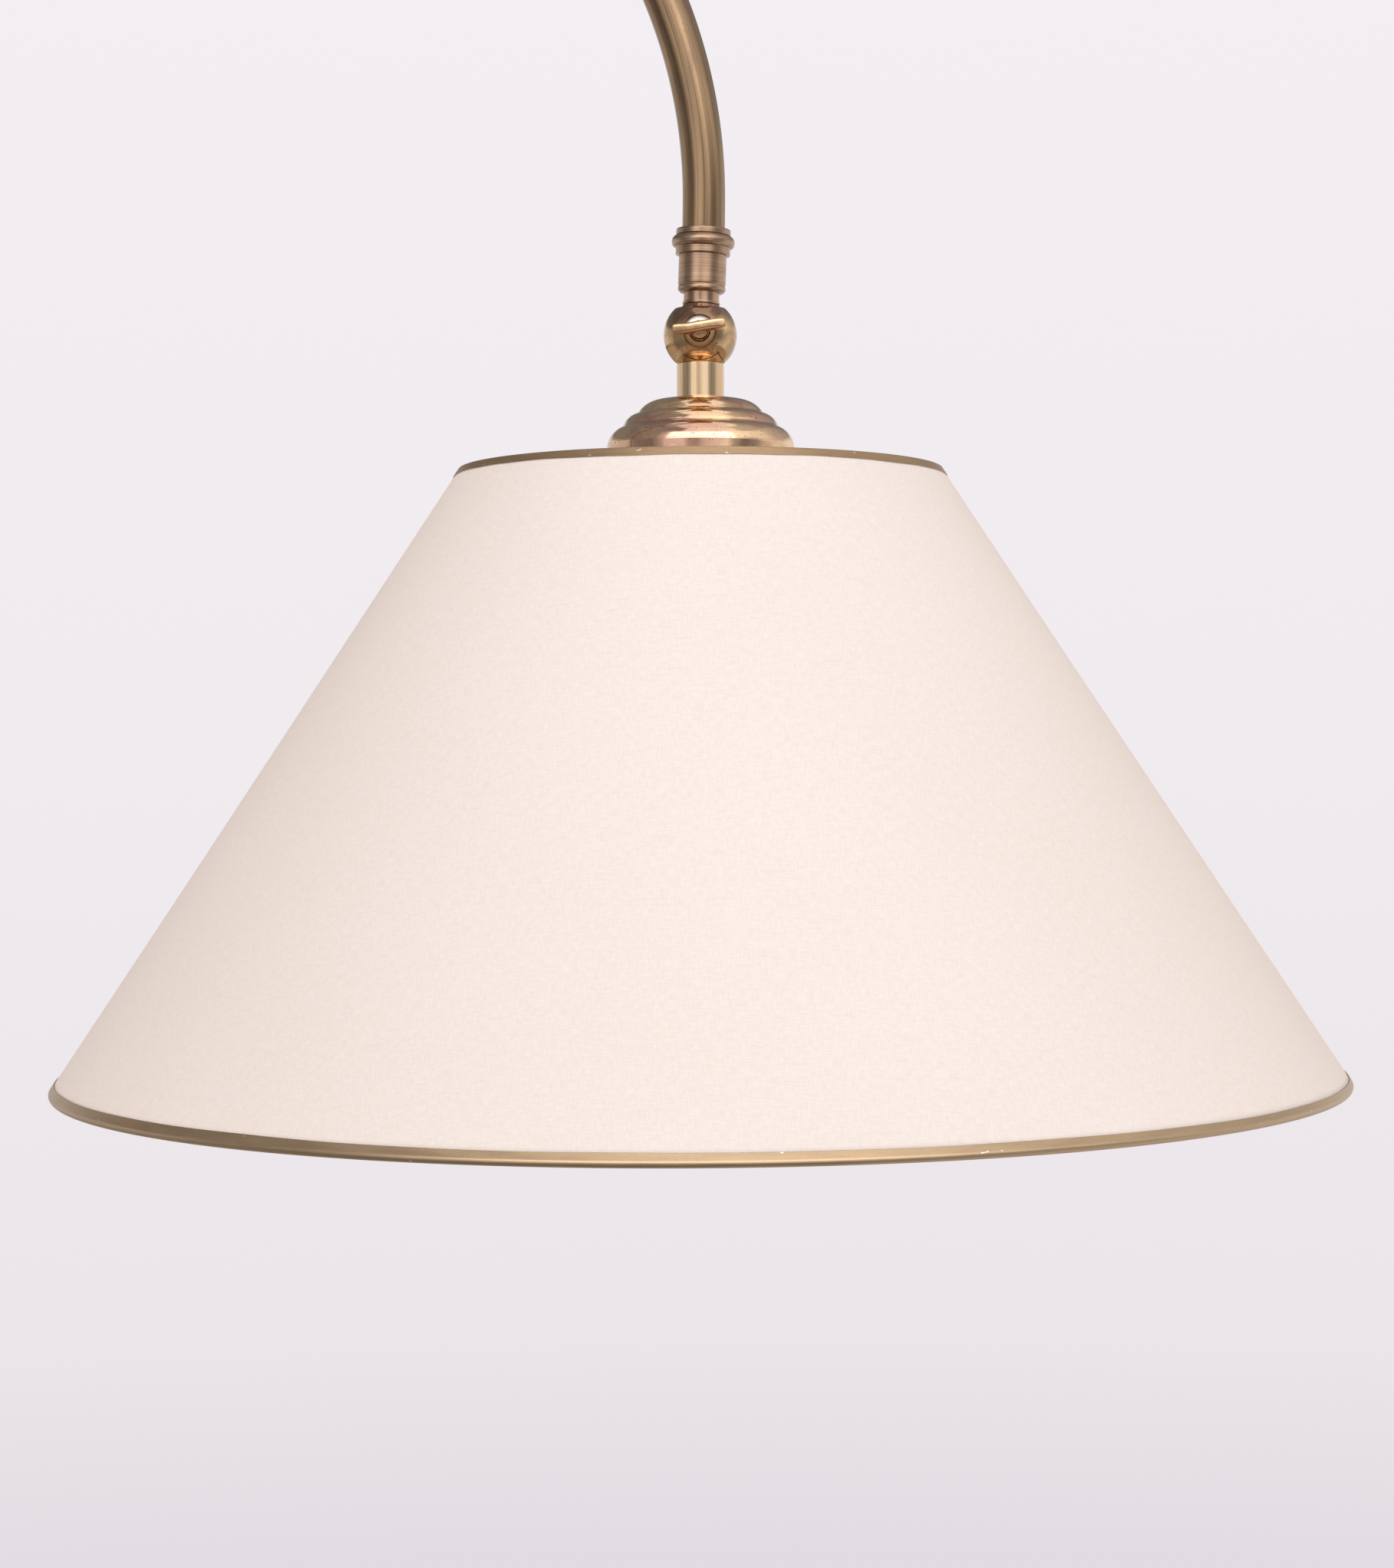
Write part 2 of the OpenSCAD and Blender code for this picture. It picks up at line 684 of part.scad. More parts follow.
// Front half: turns with the arm, and holds the stem
module knuckle_front() {
    color(bronzed) at_head() difference() {
        union() {
            difference() {
                half_ball(-1);
                // slot that the hood of the other half sweeps through
                ball_band(low_hub_r, 180 - hood_half - tilt_out - stop_margin,
                          180 + hood_half + tilt_in + stop_margin, -1, ball_r + 1);
            }
            // hood that completes the ball behind, round the shoulder
            intersection() {
                whole_ball();
                ball_band(top_hood_r, arm_end_lean - hood_half, arm_end_lean + hood_half,
                          -ball_r - 1, 1);
            }
            rotate([0, arm_end_lean, 0]) {
                translate([0, 0, ball_top_z - shoulder_root_h]) cylinder(d = shoulder_d, h = shoulder_root_h);
                translate([0, 0, ball_top_z]) cylinder(d1 = shoulder_d, d2 = 2*stem_r, h = shoulder_h);
                translate([0, 0, ball_top_z]) cylinder(r = stem_r - stem_wall - fit_gap,
                                                      h = shoulder_h + knuckle_spigot_h);
            }
        }
        to_front() cylinder(r = screw_r + run_gap, h = ball_r + 1);
        to_front() translate([0, 0, recess_y]) cylinder(d = recess_d, h = recess_h + 1);
        to_front() ring(chamber_r, chamber_in_r, -1, chamber_w);
        rotate([0, arm_end_lean, 0]) {
            translate([0, -wire_way_y, chamber_in_r + 1])
                cylinder(d = wire_way_d, h = shoulder_z - chamber_in_r);
            translate([0, 0, shoulder_z]) cylinder(r = stem_r - stem_wall - 1.2, h = knuckle_spigot_h + 1);
        }
    }
}

// Back half: turns with the head, and holds the neck
module knuckle_back() {
    color(bronzed) at_head() difference() {
        union() {
            difference() {
                half_ball(1);
                // slot that the hood of the other half sweeps through
                ball_band(top_hub_r, arm_end_lean - hood_half - tilt_in - stop_margin,
                          arm_end_lean + hood_half + tilt_out + stop_margin, -ball_r - 1, 1);
            }
            // hood that completes the ball in front, round the neck
            intersection() {
                whole_ball();
                ball_band(low_hood_r, 180 - hood_half, 180 + hood_half, -1, ball_r + 1);
            }
            translate([0, 0, -ball_bottom_z - head_spigot_h])
                cylinder(r = head_spigot_r, h = head_spigot_h + ball_bottom_z - low_hood_r - 0.2);
        }
        rotate([-90, 0, 0]) translate([0, 0, -1]) cylinder(r = screw_r + run_gap, h = knuckle_thread_y + 1);
        rotate([-90, 0, 0]) ring(chamber_r, chamber_in_r, -1, chamber_w);
        translate([0, wire_way_y, nipple_top_z - 1])
            cylinder(d = wire_way_d, h = -nipple_top_z + 1 - chamber_in_r - 1);
        translate([0, 0, -ball_bottom_z - head_spigot_h - 1])
            cylinder(r = nipple_r + fit_gap, h = nipple_top_z + ball_bottom_z + head_spigot_h + 1);
    }
}

module knuckle_washer() {
    color(polished) at_head() to_front()
        ring(washer_d/2, screw_r + run_gap, recess_y, recess_y + knuckle_washer_h);
}

module knuckle_screw() {
    at_head() translate([0, -recess_y - knuckle_washer_h, 0]) rotate([0, -wing_turn, 0])
        wing_screw(recess_y + knuckle_washer_h + knuckle_thread_y - 1.5);
}

// ---- Neck and cap ----

// Polished tube between the ball and the cap, with a fine ring at its foot
module neck_sleeve() {
    color(polished) at_head() {
        ring(neck_r, neck_r - neck_wall, neck_z, -ball_bottom_z);
        ring(neck_r + 0.3, neck_r - neck_wall, neck_z, neck_z + 0.8);
    }
}

// Outline of the cap's outside from the top to the rim, drawn in by inset
function cap_outline(inset) =
    let (top = [cap_top_d/2 - inset, neck_z - inset],
         edge_1 = [cap_tier_1_d/2 - inset, neck_z - cap_tier_1_h - inset],
         edge_2 = [cap_tier_2_d/2 - inset, edge_1[1] - cap_tier_2_h],
         belly = [cap_d/2 - inset, edge_2[1] - cap_tier_3_h*0.72],
         rim = [cap_d/2 - 0.6 - inset, cap_z - (inset > 0 ? 1 : 0)])
    concat([[0, neck_z - inset], top], bow(top, edge_1, 1.3),
           [edge_1 + [0.5, -0.5]], bow(edge_1 + [0.5, -0.5], edge_2, 0.9),
           [edge_2 + [0.5, -0.5]], bow(edge_2 + [0.5, -0.5], belly, 1.3), [rim, [0, rim[1]]]);

// Spun cap in three tiers, open below
module shade_cap() {
    color(polished) at_head() rotate_extrude() difference() {
        polygon(cap_outline(0));
        polygon(cap_outline(cap_wall));
        translate([0, neck_z - cap_wall - 1]) square([nipple_r + fit_gap, cap_wall + 2]);
    }
}

module cap_nut() {
    color(plain_brass) at_head() translate([0, 0, neck_z - cap_wall - cap_nut_h]) difference() {
        cylinder(d = cap_nut_d, h = cap_nut_h, $fn = 6);
        translate([0, 0, -1]) cylinder(r = nipple_r + fit_gap, h = cap_nut_h + 2);
    }
}

// Threaded tube that holds the head together and leads the wires
module head_nipple() {
    color(plain_brass) at_head() ring(nipple_r, nipple_bore_r, nipple_z, nipple_top_z);
}

module hub_spacer() {
    color(plain_brass) at_head()
        ring(cap_nut_d/2 - 1, nipple_r + fit_gap, hub_z, neck_z - cap_wall - cap_nut_h);
}

// ---- Shade ----

// Radius of the shade's outside at a height
function shade_r(z) = shade_top_r + (shade_top_z - z)*shade_slope;

// Strip along the cone between two heights, out by out and of a level width
module cone_strip(low, high, out, width) {
    polygon([[shade_r(high) + out, high], [shade_r(low) + out, low],
        [shade_r(low) + out - width, low], [shade_r(high) + out - width, high]]);
}

// Hub, spokes and top ring, welded into one fitter
module shade_fitter() {
    run = top_wire_r - fitter_hub_d/2 + 3;
    rise = hub_z - hub_h/2 - top_wire_z;
    color(wire) at_head() {
        ring(fitter_hub_d/2, nipple_r + fit_gap, hub_z - hub_h, hub_z);
        for (i = [0:spoke_count - 1]) rotate([0, 0, 90 + 360*i/spoke_count])
            translate([fitter_hub_d/2 - 3, 0, hub_z - hub_h/2])
            rotate([0, 90 + atan(rise/run), 0]) cylinder(d = spoke_d, h = norm([run, rise]));
        translate([0, 0, top_wire_z]) rotate_extrude() translate([top_wire_r, 0]) circle(d = wire_d);
    }
}

// Centre of the bottom ring's wire, on the middle of the fabric
wire_centre = [shade_r(bottom_wire_z) - skin_w/2, bottom_wire_z];

module bottom_ring() {
    color(wire) at_head() rotate_extrude() translate(wire_centre) circle(r = wire_r);
}

// Laminated fabric cone, open at both ends
module shade_skin() {
    color(fabric) at_head() rotate_extrude() cone_strip(skin_end_z, shade_top_z, 0, skin_w);
}

// Tape folded over the top edge and the top ring
module top_trim() {
    in_r = top_wire_r - wire_r;
    low = shade_top_z - top_tape_w;
    color(tape) at_head() rotate_extrude() polygon([[shade_r(low), low], [shade_r(low) + tape_w, low],
        [shade_top_r + tape_w, shade_top_z], [shade_top_r, shade_top_z + tape_t],
        [in_r, shade_top_z + tape_t], [in_r, shade_top_z], [shade_top_r, shade_top_z]]);
}

// Outline that runs down the fabric, t off its middle, and round the wire
function edge_outline(t, r, high) =
    let (first = atan2(sqrt(r*r - t*t), t),
         steps = 24)
    [for (p = concat([[t, high]],
                     [for (i = [0:steps]) let (a = first - (180 + 2*first)*i/steps) r*[cos(a), sin(a)]],
                     [[-t, high]]))
        wire_centre + p[0]*off_slope + p[1]*up_slope];

// Tape folded round the bottom ring, with a band that shows above it
module bottom_trim() {
    high = wire_r + bottom_tape_w;
    inner = edge_outline(shade_wall/2 + fit_gap, wire_r + fit_gap, high);
    outer = edge_outline(shade_wall/2 + fit_gap + tape_t, wire_r + fit_gap + tape_t, high);
    color(tape) at_head() rotate_extrude()
        polygon(concat(outer, [for (i = [len(inner) - 1:-1:0]) inner[i]]));
}

// ---- Lampholder and bulb ----

// Domed cap of the lampholder, threaded on the nipple
module holder_cap() {
    wall = holder_cap_wall;
    top_r = fitter_hub_d/2 - 3;
    edge = [holder_r, holder_cap_z + 3];
    color(phenolic) at_head() rotate_extrude() difference() {
        polygon(concat([[0, holder_top_z], [top_r, holder_top_z]],
            bow([top_r, holder_top_z], edge, 1.6), [[holder_r, holder_cap_z], [0, holder_cap_z]]));
        polygon(concat([[0, nipple_z], [top_r - wall, nipple_z], [holder_r - wall, holder_cap_z + 2],
            [holder_r - wall, holder_cap_z - 1], [0, holder_cap_z - 1]]));
        translate([0, nipple_z - 1]) square([nipple_r + fit_gap, holder_cap_h]);
    }
}

module holder_body() {
    color(phenolic) at_head() rotate_extrude() difference() {
        union() {
            translate([0, holder_z]) square([holder_r, holder_h]);
            translate([holder_r - 0.4, holder_z + 2]) circle(r = 1.2);
        }
        translate([0, holder_z - 1]) square([shell_d/2 + fit_gap, holder_h - floor_h + 1]);
    }
}

module holder_shell() {
    color(plain_brass) at_head()
        ring(shell_d/2, shell_d/2 - shell_t, socket_top_z - shell_h, socket_top_z);
}

module centre_contact() {
    color(plain_brass) at_head() translate([0, 0, socket_top_z - contact_h]) cylinder(d = contact_d, h = contact_h);
}

// Screw base of the bulb with rounded threads and the contact at its tip
module bulb_base() {
    turns = 6;
    pitch = 3.3;
    color(wire) at_head() rotate_extrude() {
        translate([0, bulb_base_z]) square([bulb_base_d/2 - 0.7, bulb_base_h - 2]);
        for (i = [0:turns - 1])
            translate([bulb_base_d/2 - 1, bulb_base_z + 3 + pitch*i]) circle(r = 1, $fn = 24);
        translate([0, bulb_base_z + bulb_base_h - 2.01])
            polygon([[0, 0], [bulb_base_d/2 - 0.7, 0], [bulb_tip_d/2, 2.01],
                [bulb_tip_d/2 - 1, 2.01 + bulb_tip_h], [0, 2.01 + bulb_tip_h]]);
    }
}

// Section of the bulb: a round globe drawn up into the neck
function bulb_outline(inset) =
    let (r = bulb_r - inset,
         neck = [bulb_neck_r - inset, bulb_base_z],
         join = [r*cos(35), bulb_ball_z + r*sin(35)])
    concat([[0, bulb_base_z], neck], bow(neck, join, -4),
           [for (a = [30:-10:-90]) [r*cos(a), bulb_ball_z + r*sin(a)]]);

module bulb_glass() {
    color(opal) at_head() rotate_extrude() difference() {
        polygon(bulb_outline(0));
        polygon(bulb_outline(glass_t));
    }
}

base_pad();
base_weight();
base_cover();
base_washer();
base_nut();
cord_bush();
column_foot();
column_tube();
foot_collar();
clamp_collar();
guide_liner();
height_screw();
mast_tube();
mast_bush();
swivel_socket();
swivel_spigot();
swivel_clip();
root_collar();
arm_tube();
arm_ferrule();
end_sleeve();
joint_stem();
knuckle_front();
knuckle_washer();
knuckle_screw();
knuckle_back();
neck_sleeve();
shade_cap();
cap_nut();
head_nipple();
hub_spacer();
shade_fitter();
bottom_ring();
shade_skin();
top_trim();
bottom_trim();
holder_cap();
holder_body();
holder_shell();
centre_contact();
bulb_base();
bulb_glass();
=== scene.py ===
import json
import math
import bpy
import numpy as np
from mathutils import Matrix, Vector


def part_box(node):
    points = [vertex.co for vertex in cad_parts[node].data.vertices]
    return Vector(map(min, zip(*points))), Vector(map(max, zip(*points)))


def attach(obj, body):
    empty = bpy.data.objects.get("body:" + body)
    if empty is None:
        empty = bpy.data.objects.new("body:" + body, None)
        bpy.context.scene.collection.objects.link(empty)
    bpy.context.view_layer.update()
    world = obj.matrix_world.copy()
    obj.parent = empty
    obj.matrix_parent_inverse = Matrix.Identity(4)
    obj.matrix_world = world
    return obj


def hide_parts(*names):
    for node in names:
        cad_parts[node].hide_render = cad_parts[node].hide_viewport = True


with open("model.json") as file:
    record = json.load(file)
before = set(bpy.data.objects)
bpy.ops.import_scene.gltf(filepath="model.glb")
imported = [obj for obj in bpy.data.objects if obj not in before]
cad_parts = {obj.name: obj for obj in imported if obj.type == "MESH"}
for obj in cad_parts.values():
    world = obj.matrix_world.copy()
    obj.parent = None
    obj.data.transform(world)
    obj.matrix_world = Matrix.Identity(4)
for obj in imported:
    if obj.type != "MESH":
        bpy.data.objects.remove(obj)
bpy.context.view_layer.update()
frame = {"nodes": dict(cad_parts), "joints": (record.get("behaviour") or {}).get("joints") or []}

nodes = frame["nodes"]
# centre of the ball knuckle, which all heights are counted from
ball = np.array([j["pos_m"] for j in frame["joints"] if j["name"] == "knuckle_tilt"][0])
mm = 0.001
print("frame loaded,", len(nodes), "nodes")

photo = {
    "width": 1817, "height": 2044,  # pixels
    "focalPixels": 3871.0,          # from the outline of the shade
    "horizonRow": 981.0,            # row that lies level with the lens
    "lensColumn": 995.6,            # column straight ahead of the lens
    "distance": 1.046,              # metres from the lens to the shade's axis
    "aside": 0.0217,                # lens to the right of the shade's axis
    "belowBall": 0.147,             # lens below the ball's centre
    "roll": 0.27,                   # degrees
}


def addCamera(v):
    # A level camera looking along +Y; the framing is the photograph's, by a small shift
    data = bpy.data.cameras.new("camera")
    data.sensor_fit = "VERTICAL"
    data.sensor_height = 36.0
    data.lens = v["focalPixels"] / v["height"] * data.sensor_height
    data.shift_x = (v["width"] / 2 - v["lensColumn"]) / v["height"]
    data.shift_y = (v["horizonRow"] - v["height"] / 2) / v["height"]
    data.clip_start = 0.05
    camera = bpy.data.objects.new("camera", data)
    bpy.context.scene.collection.objects.link(camera)
    camera.location = (ball[0] + v["aside"], ball[1] - v["distance"], ball[2] - v["belowBall"])
    camera.rotation_euler = (math.pi / 2, math.radians(v["roll"]), 0)
    bpy.context.scene.camera = camera


addCamera(photo)
print("camera placed")


def makeObject(name, points, faces, uv=None, body=None, material=None, slot=None, replaced=()):
    # points: n x 3 metres; faces: m x 4 corner numbers; uv: one pair for each corner of each
    # face; material: the name of one that is made by then
    mesh = bpy.data.meshes.new(name)
    mesh.vertices.add(len(points))
    mesh.vertices.foreach_set("co", np.ascontiguousarray(points, np.float32).ravel())
    mesh.loops.add(faces.size)
    mesh.loops.foreach_set("vertex_index", faces.ravel().astype(np.int32))
    mesh.polygons.add(len(faces))
    mesh.polygons.foreach_set("loop_start", np.arange(0, faces.size, 4, dtype=np.int32))
    mesh.update(calc_edges=True)
    if uv is not None:
        layer = mesh.uv_layers.new(name="surface")
        layer.data.foreach_set("uv", np.ascontiguousarray(uv, np.float32).ravel())
    mesh.shade_smooth()
    mesh.validate()
    piece = bpy.data.objects.new(name, mesh)
    bpy.context.scene.collection.objects.link(piece)
    mesh.materials.append(bpy.data.materials[material])
    if body:
        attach(piece, body)
    if replaced:
        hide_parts(*replaced)
    return piece


def loopGrid(grid, uvGrid=None, closeRows=False):
    # grid: rows x columns x 3, closed along the columns; faces between neighbouring rows;
    # the uv grid has one more row and column than the mesh, for the seams
    rows, columns = grid.shape[:2]
    last = rows if closeRows else rows - 1
    r, c = np.meshgrid(np.arange(last), np.arange(columns), indexing="ij")
    r2, c2 = (r + 1) % rows, (c + 1) % columns
    faces = np.stack([r * columns + c, r * columns + c2, r2 * columns + c2, r2 * columns + c], -1)
    uv = None
    if uvGrid is not None:
        corners = [uvGrid[r, c], uvGrid[r, c + 1], uvGrid[r + 1, c + 1], uvGrid[r + 1, c]]
        uv = np.stack(corners, -2).reshape(-1, 2)
    return grid.reshape(-1, 3), faces.reshape(-1, 4), uv


rounding = {
    "most": 0.45,   # a round takes at most this share of its shorter edge
    "near": 0.06,   # millimetres from the ends of a straight to its two extra points
    "share": (0.01, 0.3),  # the same as a share of the straight, at least and at most
}


def roundProfile(points, radii, steps=5, v=rounding):
    # Each corner of the closed outline gives way to a round of its radius: a quadratic arc
    # between the two points one radius away along its edges; two more points near the ends of
    # each straight keep it flat when it is shaded smooth
    p = np.array(points, float)
    radii = np.array(radii, float) * np.ones(len(p))
    apart = np.linalg.norm(p - np.roll(p, 1, 0), axis=1) > 1e-7  # a repeated point has no edge
    p, radii = p[apart], radii[apart]
    before, after = np.roll(p, 1, 0) - p, np.roll(p, -1, 0) - p
    a = np.linalg.norm(before, axis=1)
    b = np.linalg.norm(after, axis=1)
    cut = np.minimum(radii, v["most"] * np.minimum(a, b))
    start = p + before / a[:, None] * cut[:, None]
    end = p + after / b[:, None] * cut[:, None]
    t = np.linspace(0, 1, steps)[None, :, None]
    curve = (1 - t) ** 2 * start[:, None] + 2 * t * (1 - t) * p[:, None] + t ** 2 * end[:, None]
    way = np.roll(start, -1, 0) - end
    length = np.maximum(np.linalg.norm(way, axis=1), 1e-9)
    share = np.clip(v["near"] * mm / length, *v["share"])[:, None, None]
    straight = end[:, None] + way[:, None] * np.concatenate([share, 1 - share], 1)
    return np.concatenate([curve, straight], 1).reshape(-1, 2)


def bow(a, b, sag, steps=16):
    # Round arc from a to b that bows out by sag to the left of the way from a to b,
    # without its first point
    a, b = np.array(a, float), np.array(b, float)
    chord = b - a
    half = np.linalg.norm(chord) / 2
    left = np.array([-chord[1], chord[0]]) / (2 * half)
    radius = (half * half + sag * sag) / (2 * sag)
    centre = (a + b) / 2 - left * (radius - sag)
    angle = math.asin(min(1.0, half / abs(radius))) * np.sign(radius)
    turn = np.linspace(-angle, angle, steps + 1)[1:]
    along = chord / (2 * half)
    return centre + abs(radius) * (np.sin(turn)[:, None] * along * np.sign(radius)
                                   + np.cos(turn)[:, None] * left * np.sign(radius))


def anticlockwise(profile):
    # The outline runs the other way if its area, the sum of x1 y2 - x2 y1, is negative
    after = np.roll(profile, -1, 0)
    area = np.sum(profile[:, 0] * after[:, 1] - after[:, 0] * profile[:, 1])
    return profile[::-1] if area < 0 else profile


def wayAlong(profile):
    # Length run along a closed outline at each point, and last the whole way round
    steps = np.linalg.norm(np.roll(profile, -1, 0) - profile, axis=1)
    return np.concatenate([[0], np.cumsum(steps)])


def surfacePlace(profile, columns):
    # uv of a turned surface: way round its widest ring, and way along its outline
    around = np.linspace(0, 2 * np.pi * profile[:, 0].max(), columns + 1)
    return np.stack(np.meshgrid(around, wayAlong(profile)), -1)


def turned(name, profile, centre, lean=0.0, steps=160, toFront=False, **facts):
    # Closed outline (radius, height) turned about an upright through the centre:
    # x = r cos t, y = r sin t, z = h, then leant about Y, or laid over so that heights point
    # to the front
    profile = anticlockwise(np.asarray(profile, float))
    t = np.linspace(0, 2 * np.pi, steps, endpoint=False)
    r, h = profile[:, 0][:, None], profile[:, 1][:, None]
    x, y, z = r * np.cos(t), r * np.sin(t), h * np.ones(steps)
    s, c = math.sin(math.radians(lean)), math.cos(math.radians(lean))
    place = [x, -z, y] if toFront else [x * c + z * s, y, z * c - x * s]
    grid = np.stack(place, -1) + np.array(centre)
    makeObject(name, *loopGrid(grid, surfacePlace(profile, steps), True), **facts)


class Graph:
    # Short hand for one material's nodes: add(kind, inputs) makes and wires a node

    def __init__(self, name):
        material = bpy.data.materials.new(name)
        material.use_nodes = True
        self.tree = material.node_tree
        self.tree.nodes.clear()
        self.out = self.tree.nodes.new("ShaderNodeOutputMaterial")

    def wire(self, value, socket):
        # A socket's output is linked and any other value is set
        if isinstance(value, bpy.types.NodeSocket):
            self.tree.links.new(value, socket)
        else:
            socket.default_value = value

    def add(self, kind, inputs=None, **settings):
        node = self.tree.nodes.new("ShaderNode" + kind)
        for key, value in settings.items():
            setattr(node, key, value)
        for key, value in (inputs or {}).items():
            self.wire(value, node.inputs[key])
        return node

    def place(self, space, scale=(1, 1, 1)):
        # Object or UV coordinates, in metres times scale
        where = self.add("TexCoord").outputs[space]
        return self.add("Mapping", {"Vector": where, "Scale": scale}).outputs["Vector"]

    def noise(self, where, detail=4.0, rough=0.55, distortion=0.0):
        # Clouds of about one unit, from 0 to 1 with the middle at 0.5
        facts = {"Vector": where, "Scale": 1.0, "Detail": detail, "Roughness": rough,
                 "Distortion": distortion}
        return self.add("TexNoise", facts).outputs["Fac"]

    def spread(self, value, low, high, toLow=0.0, toHigh=1.0):
        # Maps low..high to toLow..toHigh, clamped
        return self.add("MapRange", {"Value": value, "From Min": low, "From Max": high,
                                     "To Min": toLow, "To Max": toHigh}).outputs["Result"]

    def mix(self, factor, a, b, blend="MIX"):
        # Colour mixed from a to b by the factor; the node has a socket for each kind of value
        node = self.add("Mix", {0: factor}, data_type="RGBA", blend_type=blend)
        self.wire(a, node.inputs[6])
        self.wire(b, node.inputs[7])
        return node.outputs[2]

    def sums(self, operation, a, b):
        # a and b put together by the named operation
        return self.add("Math", {0: a, 1: b}, operation=operation).outputs[0]

    def bump(self, height, distance, strength=1.0, under=None):
        # Normal bent by a height of 0 to 1 that stands for a distance in metres
        inputs = {"Height": height, "Distance": distance, "Strength": strength}
        if under is not None:
            inputs["Normal"] = under
        return self.add("Bump", inputs).outputs["Normal"]

    def finish(self, inputs):
        # The surface's shader, wired to the material's output
        shader = self.add("BsdfPrincipled", inputs)
        self.wire(shader.outputs[0], self.out.inputs["Surface"])


def colour(red, green, blue):
    # A colour as seen on screen, 0 to 255, turned to the linear values that shaders take
    c = np.array([red, green, blue]) / 255.0
    linear = np.where(c <= 0.04045, c / 12.92, ((c + 0.055) / 1.055) ** 2.4)
    return (*[float(x) for x in linear], 1.0)


def brass(name, v):
    # Clean metal and tarnish mixed by clouds and, where set, also darker by height; fine lines
    # drawn along one way, small pits
    g = Graph(name)
    lines = g.noise(g.place(v["space"], v["lineScale"]), 5.0, 0.6)
    wideScale = [s * v["wideLine"] for s in v["lineScale"]]
    wideLines = g.noise(g.place(v["space"], wideScale), 3.0, 0.5)
    clouds = g.noise(g.place(v["space"], v["cloudScale"]), 6.0, 0.62, 0.6)
    pits = g.noise(g.place(v["space"], v["pitScale"]), 2.0, 0.7)
    tarnish = g.spread(clouds, v["tarnishFrom"], v["tarnishTo"])
    # On the washer this darkening by height paints a highlight above and shade below; on the ball
    # it makes the top darker
    if "tarnishRise" in v:  # darker by height: none of the dark mix at the first height from the ball, all at the second
        height = g.add("SeparateXYZ", {0: g.place("Object")}).outputs["Z"]
        first, second = (ball[2] + z * mm for z in v["tarnishRise"])
        ragged = g.sums("ADD", height, g.spread(clouds, 0.3, 0.7, -3 * mm, 3 * mm))
        tarnish = g.sums("MULTIPLY", tarnish, v["tarnishElsewhere"])
        tarnish = g.sums("MAXIMUM", tarnish, g.spread(ragged, first, second))
    # the mix to the tarnish colour now also holds any darkening by height, which is painted shade
    # on the washer
    base = g.mix(tarnish, v["clean"], v["tarnish"])
    wideMask = g.spread(wideLines, *v["wideFromTo"], 0.0, v["lineDepth"])
    base = g.mix(wideMask, base, v["lineColour"])
    lineMask = g.spread(lines, *v["lineFromTo"], 0.0, v["lineDepth"] * v["fineShare"])
    base = g.mix(lineMask, base, v["lineColour"])
    pitMask = g.spread(pits, v["pitFrom"], v["pitFrom"] + v["pitEdge"])
    base = g.mix(g.sums("MULTIPLY", pitMask, v["pitDepth"]), base, v["pitColour"])
    rough = g.spread(clouds, 0.3, 0.75, v["smooth"], v["rough"])
    rough = g.sums("ADD", rough, g.spread(lines, 0.3, 0.8, 0.0, v["lineRough"]))
    rough = g.sums("ADD", rough, g.sums("MULTIPLY", pitMask, v["pitRough"]))
    normal = g.bump(lines, v["lineBump"] * mm)
    normal = g.bump(g.sums("MULTIPLY", pitMask, -1.0), v["pitBump"] * mm, 1.0, normal)
    g.finish({"Base Color": base, "Metallic": v["metallic"], "Roughness": rough,
              "Normal": normal})


alongTube = {  # drawn tube: lines run along v of the surface; scales are for one metre
    "space": "UV", "lineScale": (5200, 26, 1), "cloudScale": (110, 24, 1),
    "pitScale": (900, 620, 1), "clean": colour(172, 142, 109), "tarnish": colour(146, 119, 100),
    "tarnishFrom": 0.42, "tarnishTo": 0.66, "tarnishElsewhere": 0.8,
    "lineColour": colour(94, 74, 59), "lineDepth": 0.85, "wideLine": 0.12, "fineShare": 0.6,
    "wideFromTo": (0.35, 0.7), "lineFromTo": (0.55, 0.8), "lineRough": 0.06,
    "pitFrom": 0.68, "pitEdge": 0.05, "pitDepth": 0.5, "pitColour": colour(84, 62, 50),
    "pitRough": 0.15, "lineBump": 0.005, "pitBump": 0.008,  # bumps in millimetres
    "smooth": 0.2, "rough": 0.29, "metallic": 1.0,
}
roundTurning = dict(
    alongTube, lineScale=(30, 5200, 1), cloudScale=(60, 90, 1), clean=colour(198, 164, 136),
    tarnish=colour(172, 139, 118), lineDepth=0.45, wideLine=0.3)
stemFinish = dict(roundTurning, smooth=0.12, rough=0.18, lineDepth=0.3)
objectTube = dict(
    alongTube, space="Object", lineScale=(2600, 2600, 16), cloudScale=(60, 60, 14),
    pitScale=(500, 500, 500))
objectTurned = dict(
    roundTurning, space="Object", lineScale=(12, 12, 2600), cloudScale=(30, 30, 60),
    pitScale=(500, 500, 500))
neckFinish = dict(
    alongTube, clean=colour(242, 216, 180), tarnish=colour(230, 194, 154),
    lineColour=colour(180, 144, 104), lineDepth=0.4, wideLine=0.3, smooth=0.12, rough=0.2,
    pitFrom=0.72, pitDepth=0.3)
capFinish = dict(
    roundTurning, clean=colour(248, 211, 168), tarnish=colour(216, 170, 148),
    lineColour=colour(176, 138, 112), lineDepth=0.22, cloudScale=(46, 60, 1),
    tarnishFrom=0.40, tarnishTo=0.62, smooth=0.04, rough=0.1, pitScale=(700, 700, 1),
    pitFrom=0.63, pitDepth=0.75, pitColour=colour(120, 82, 52), pitBump=0.01)
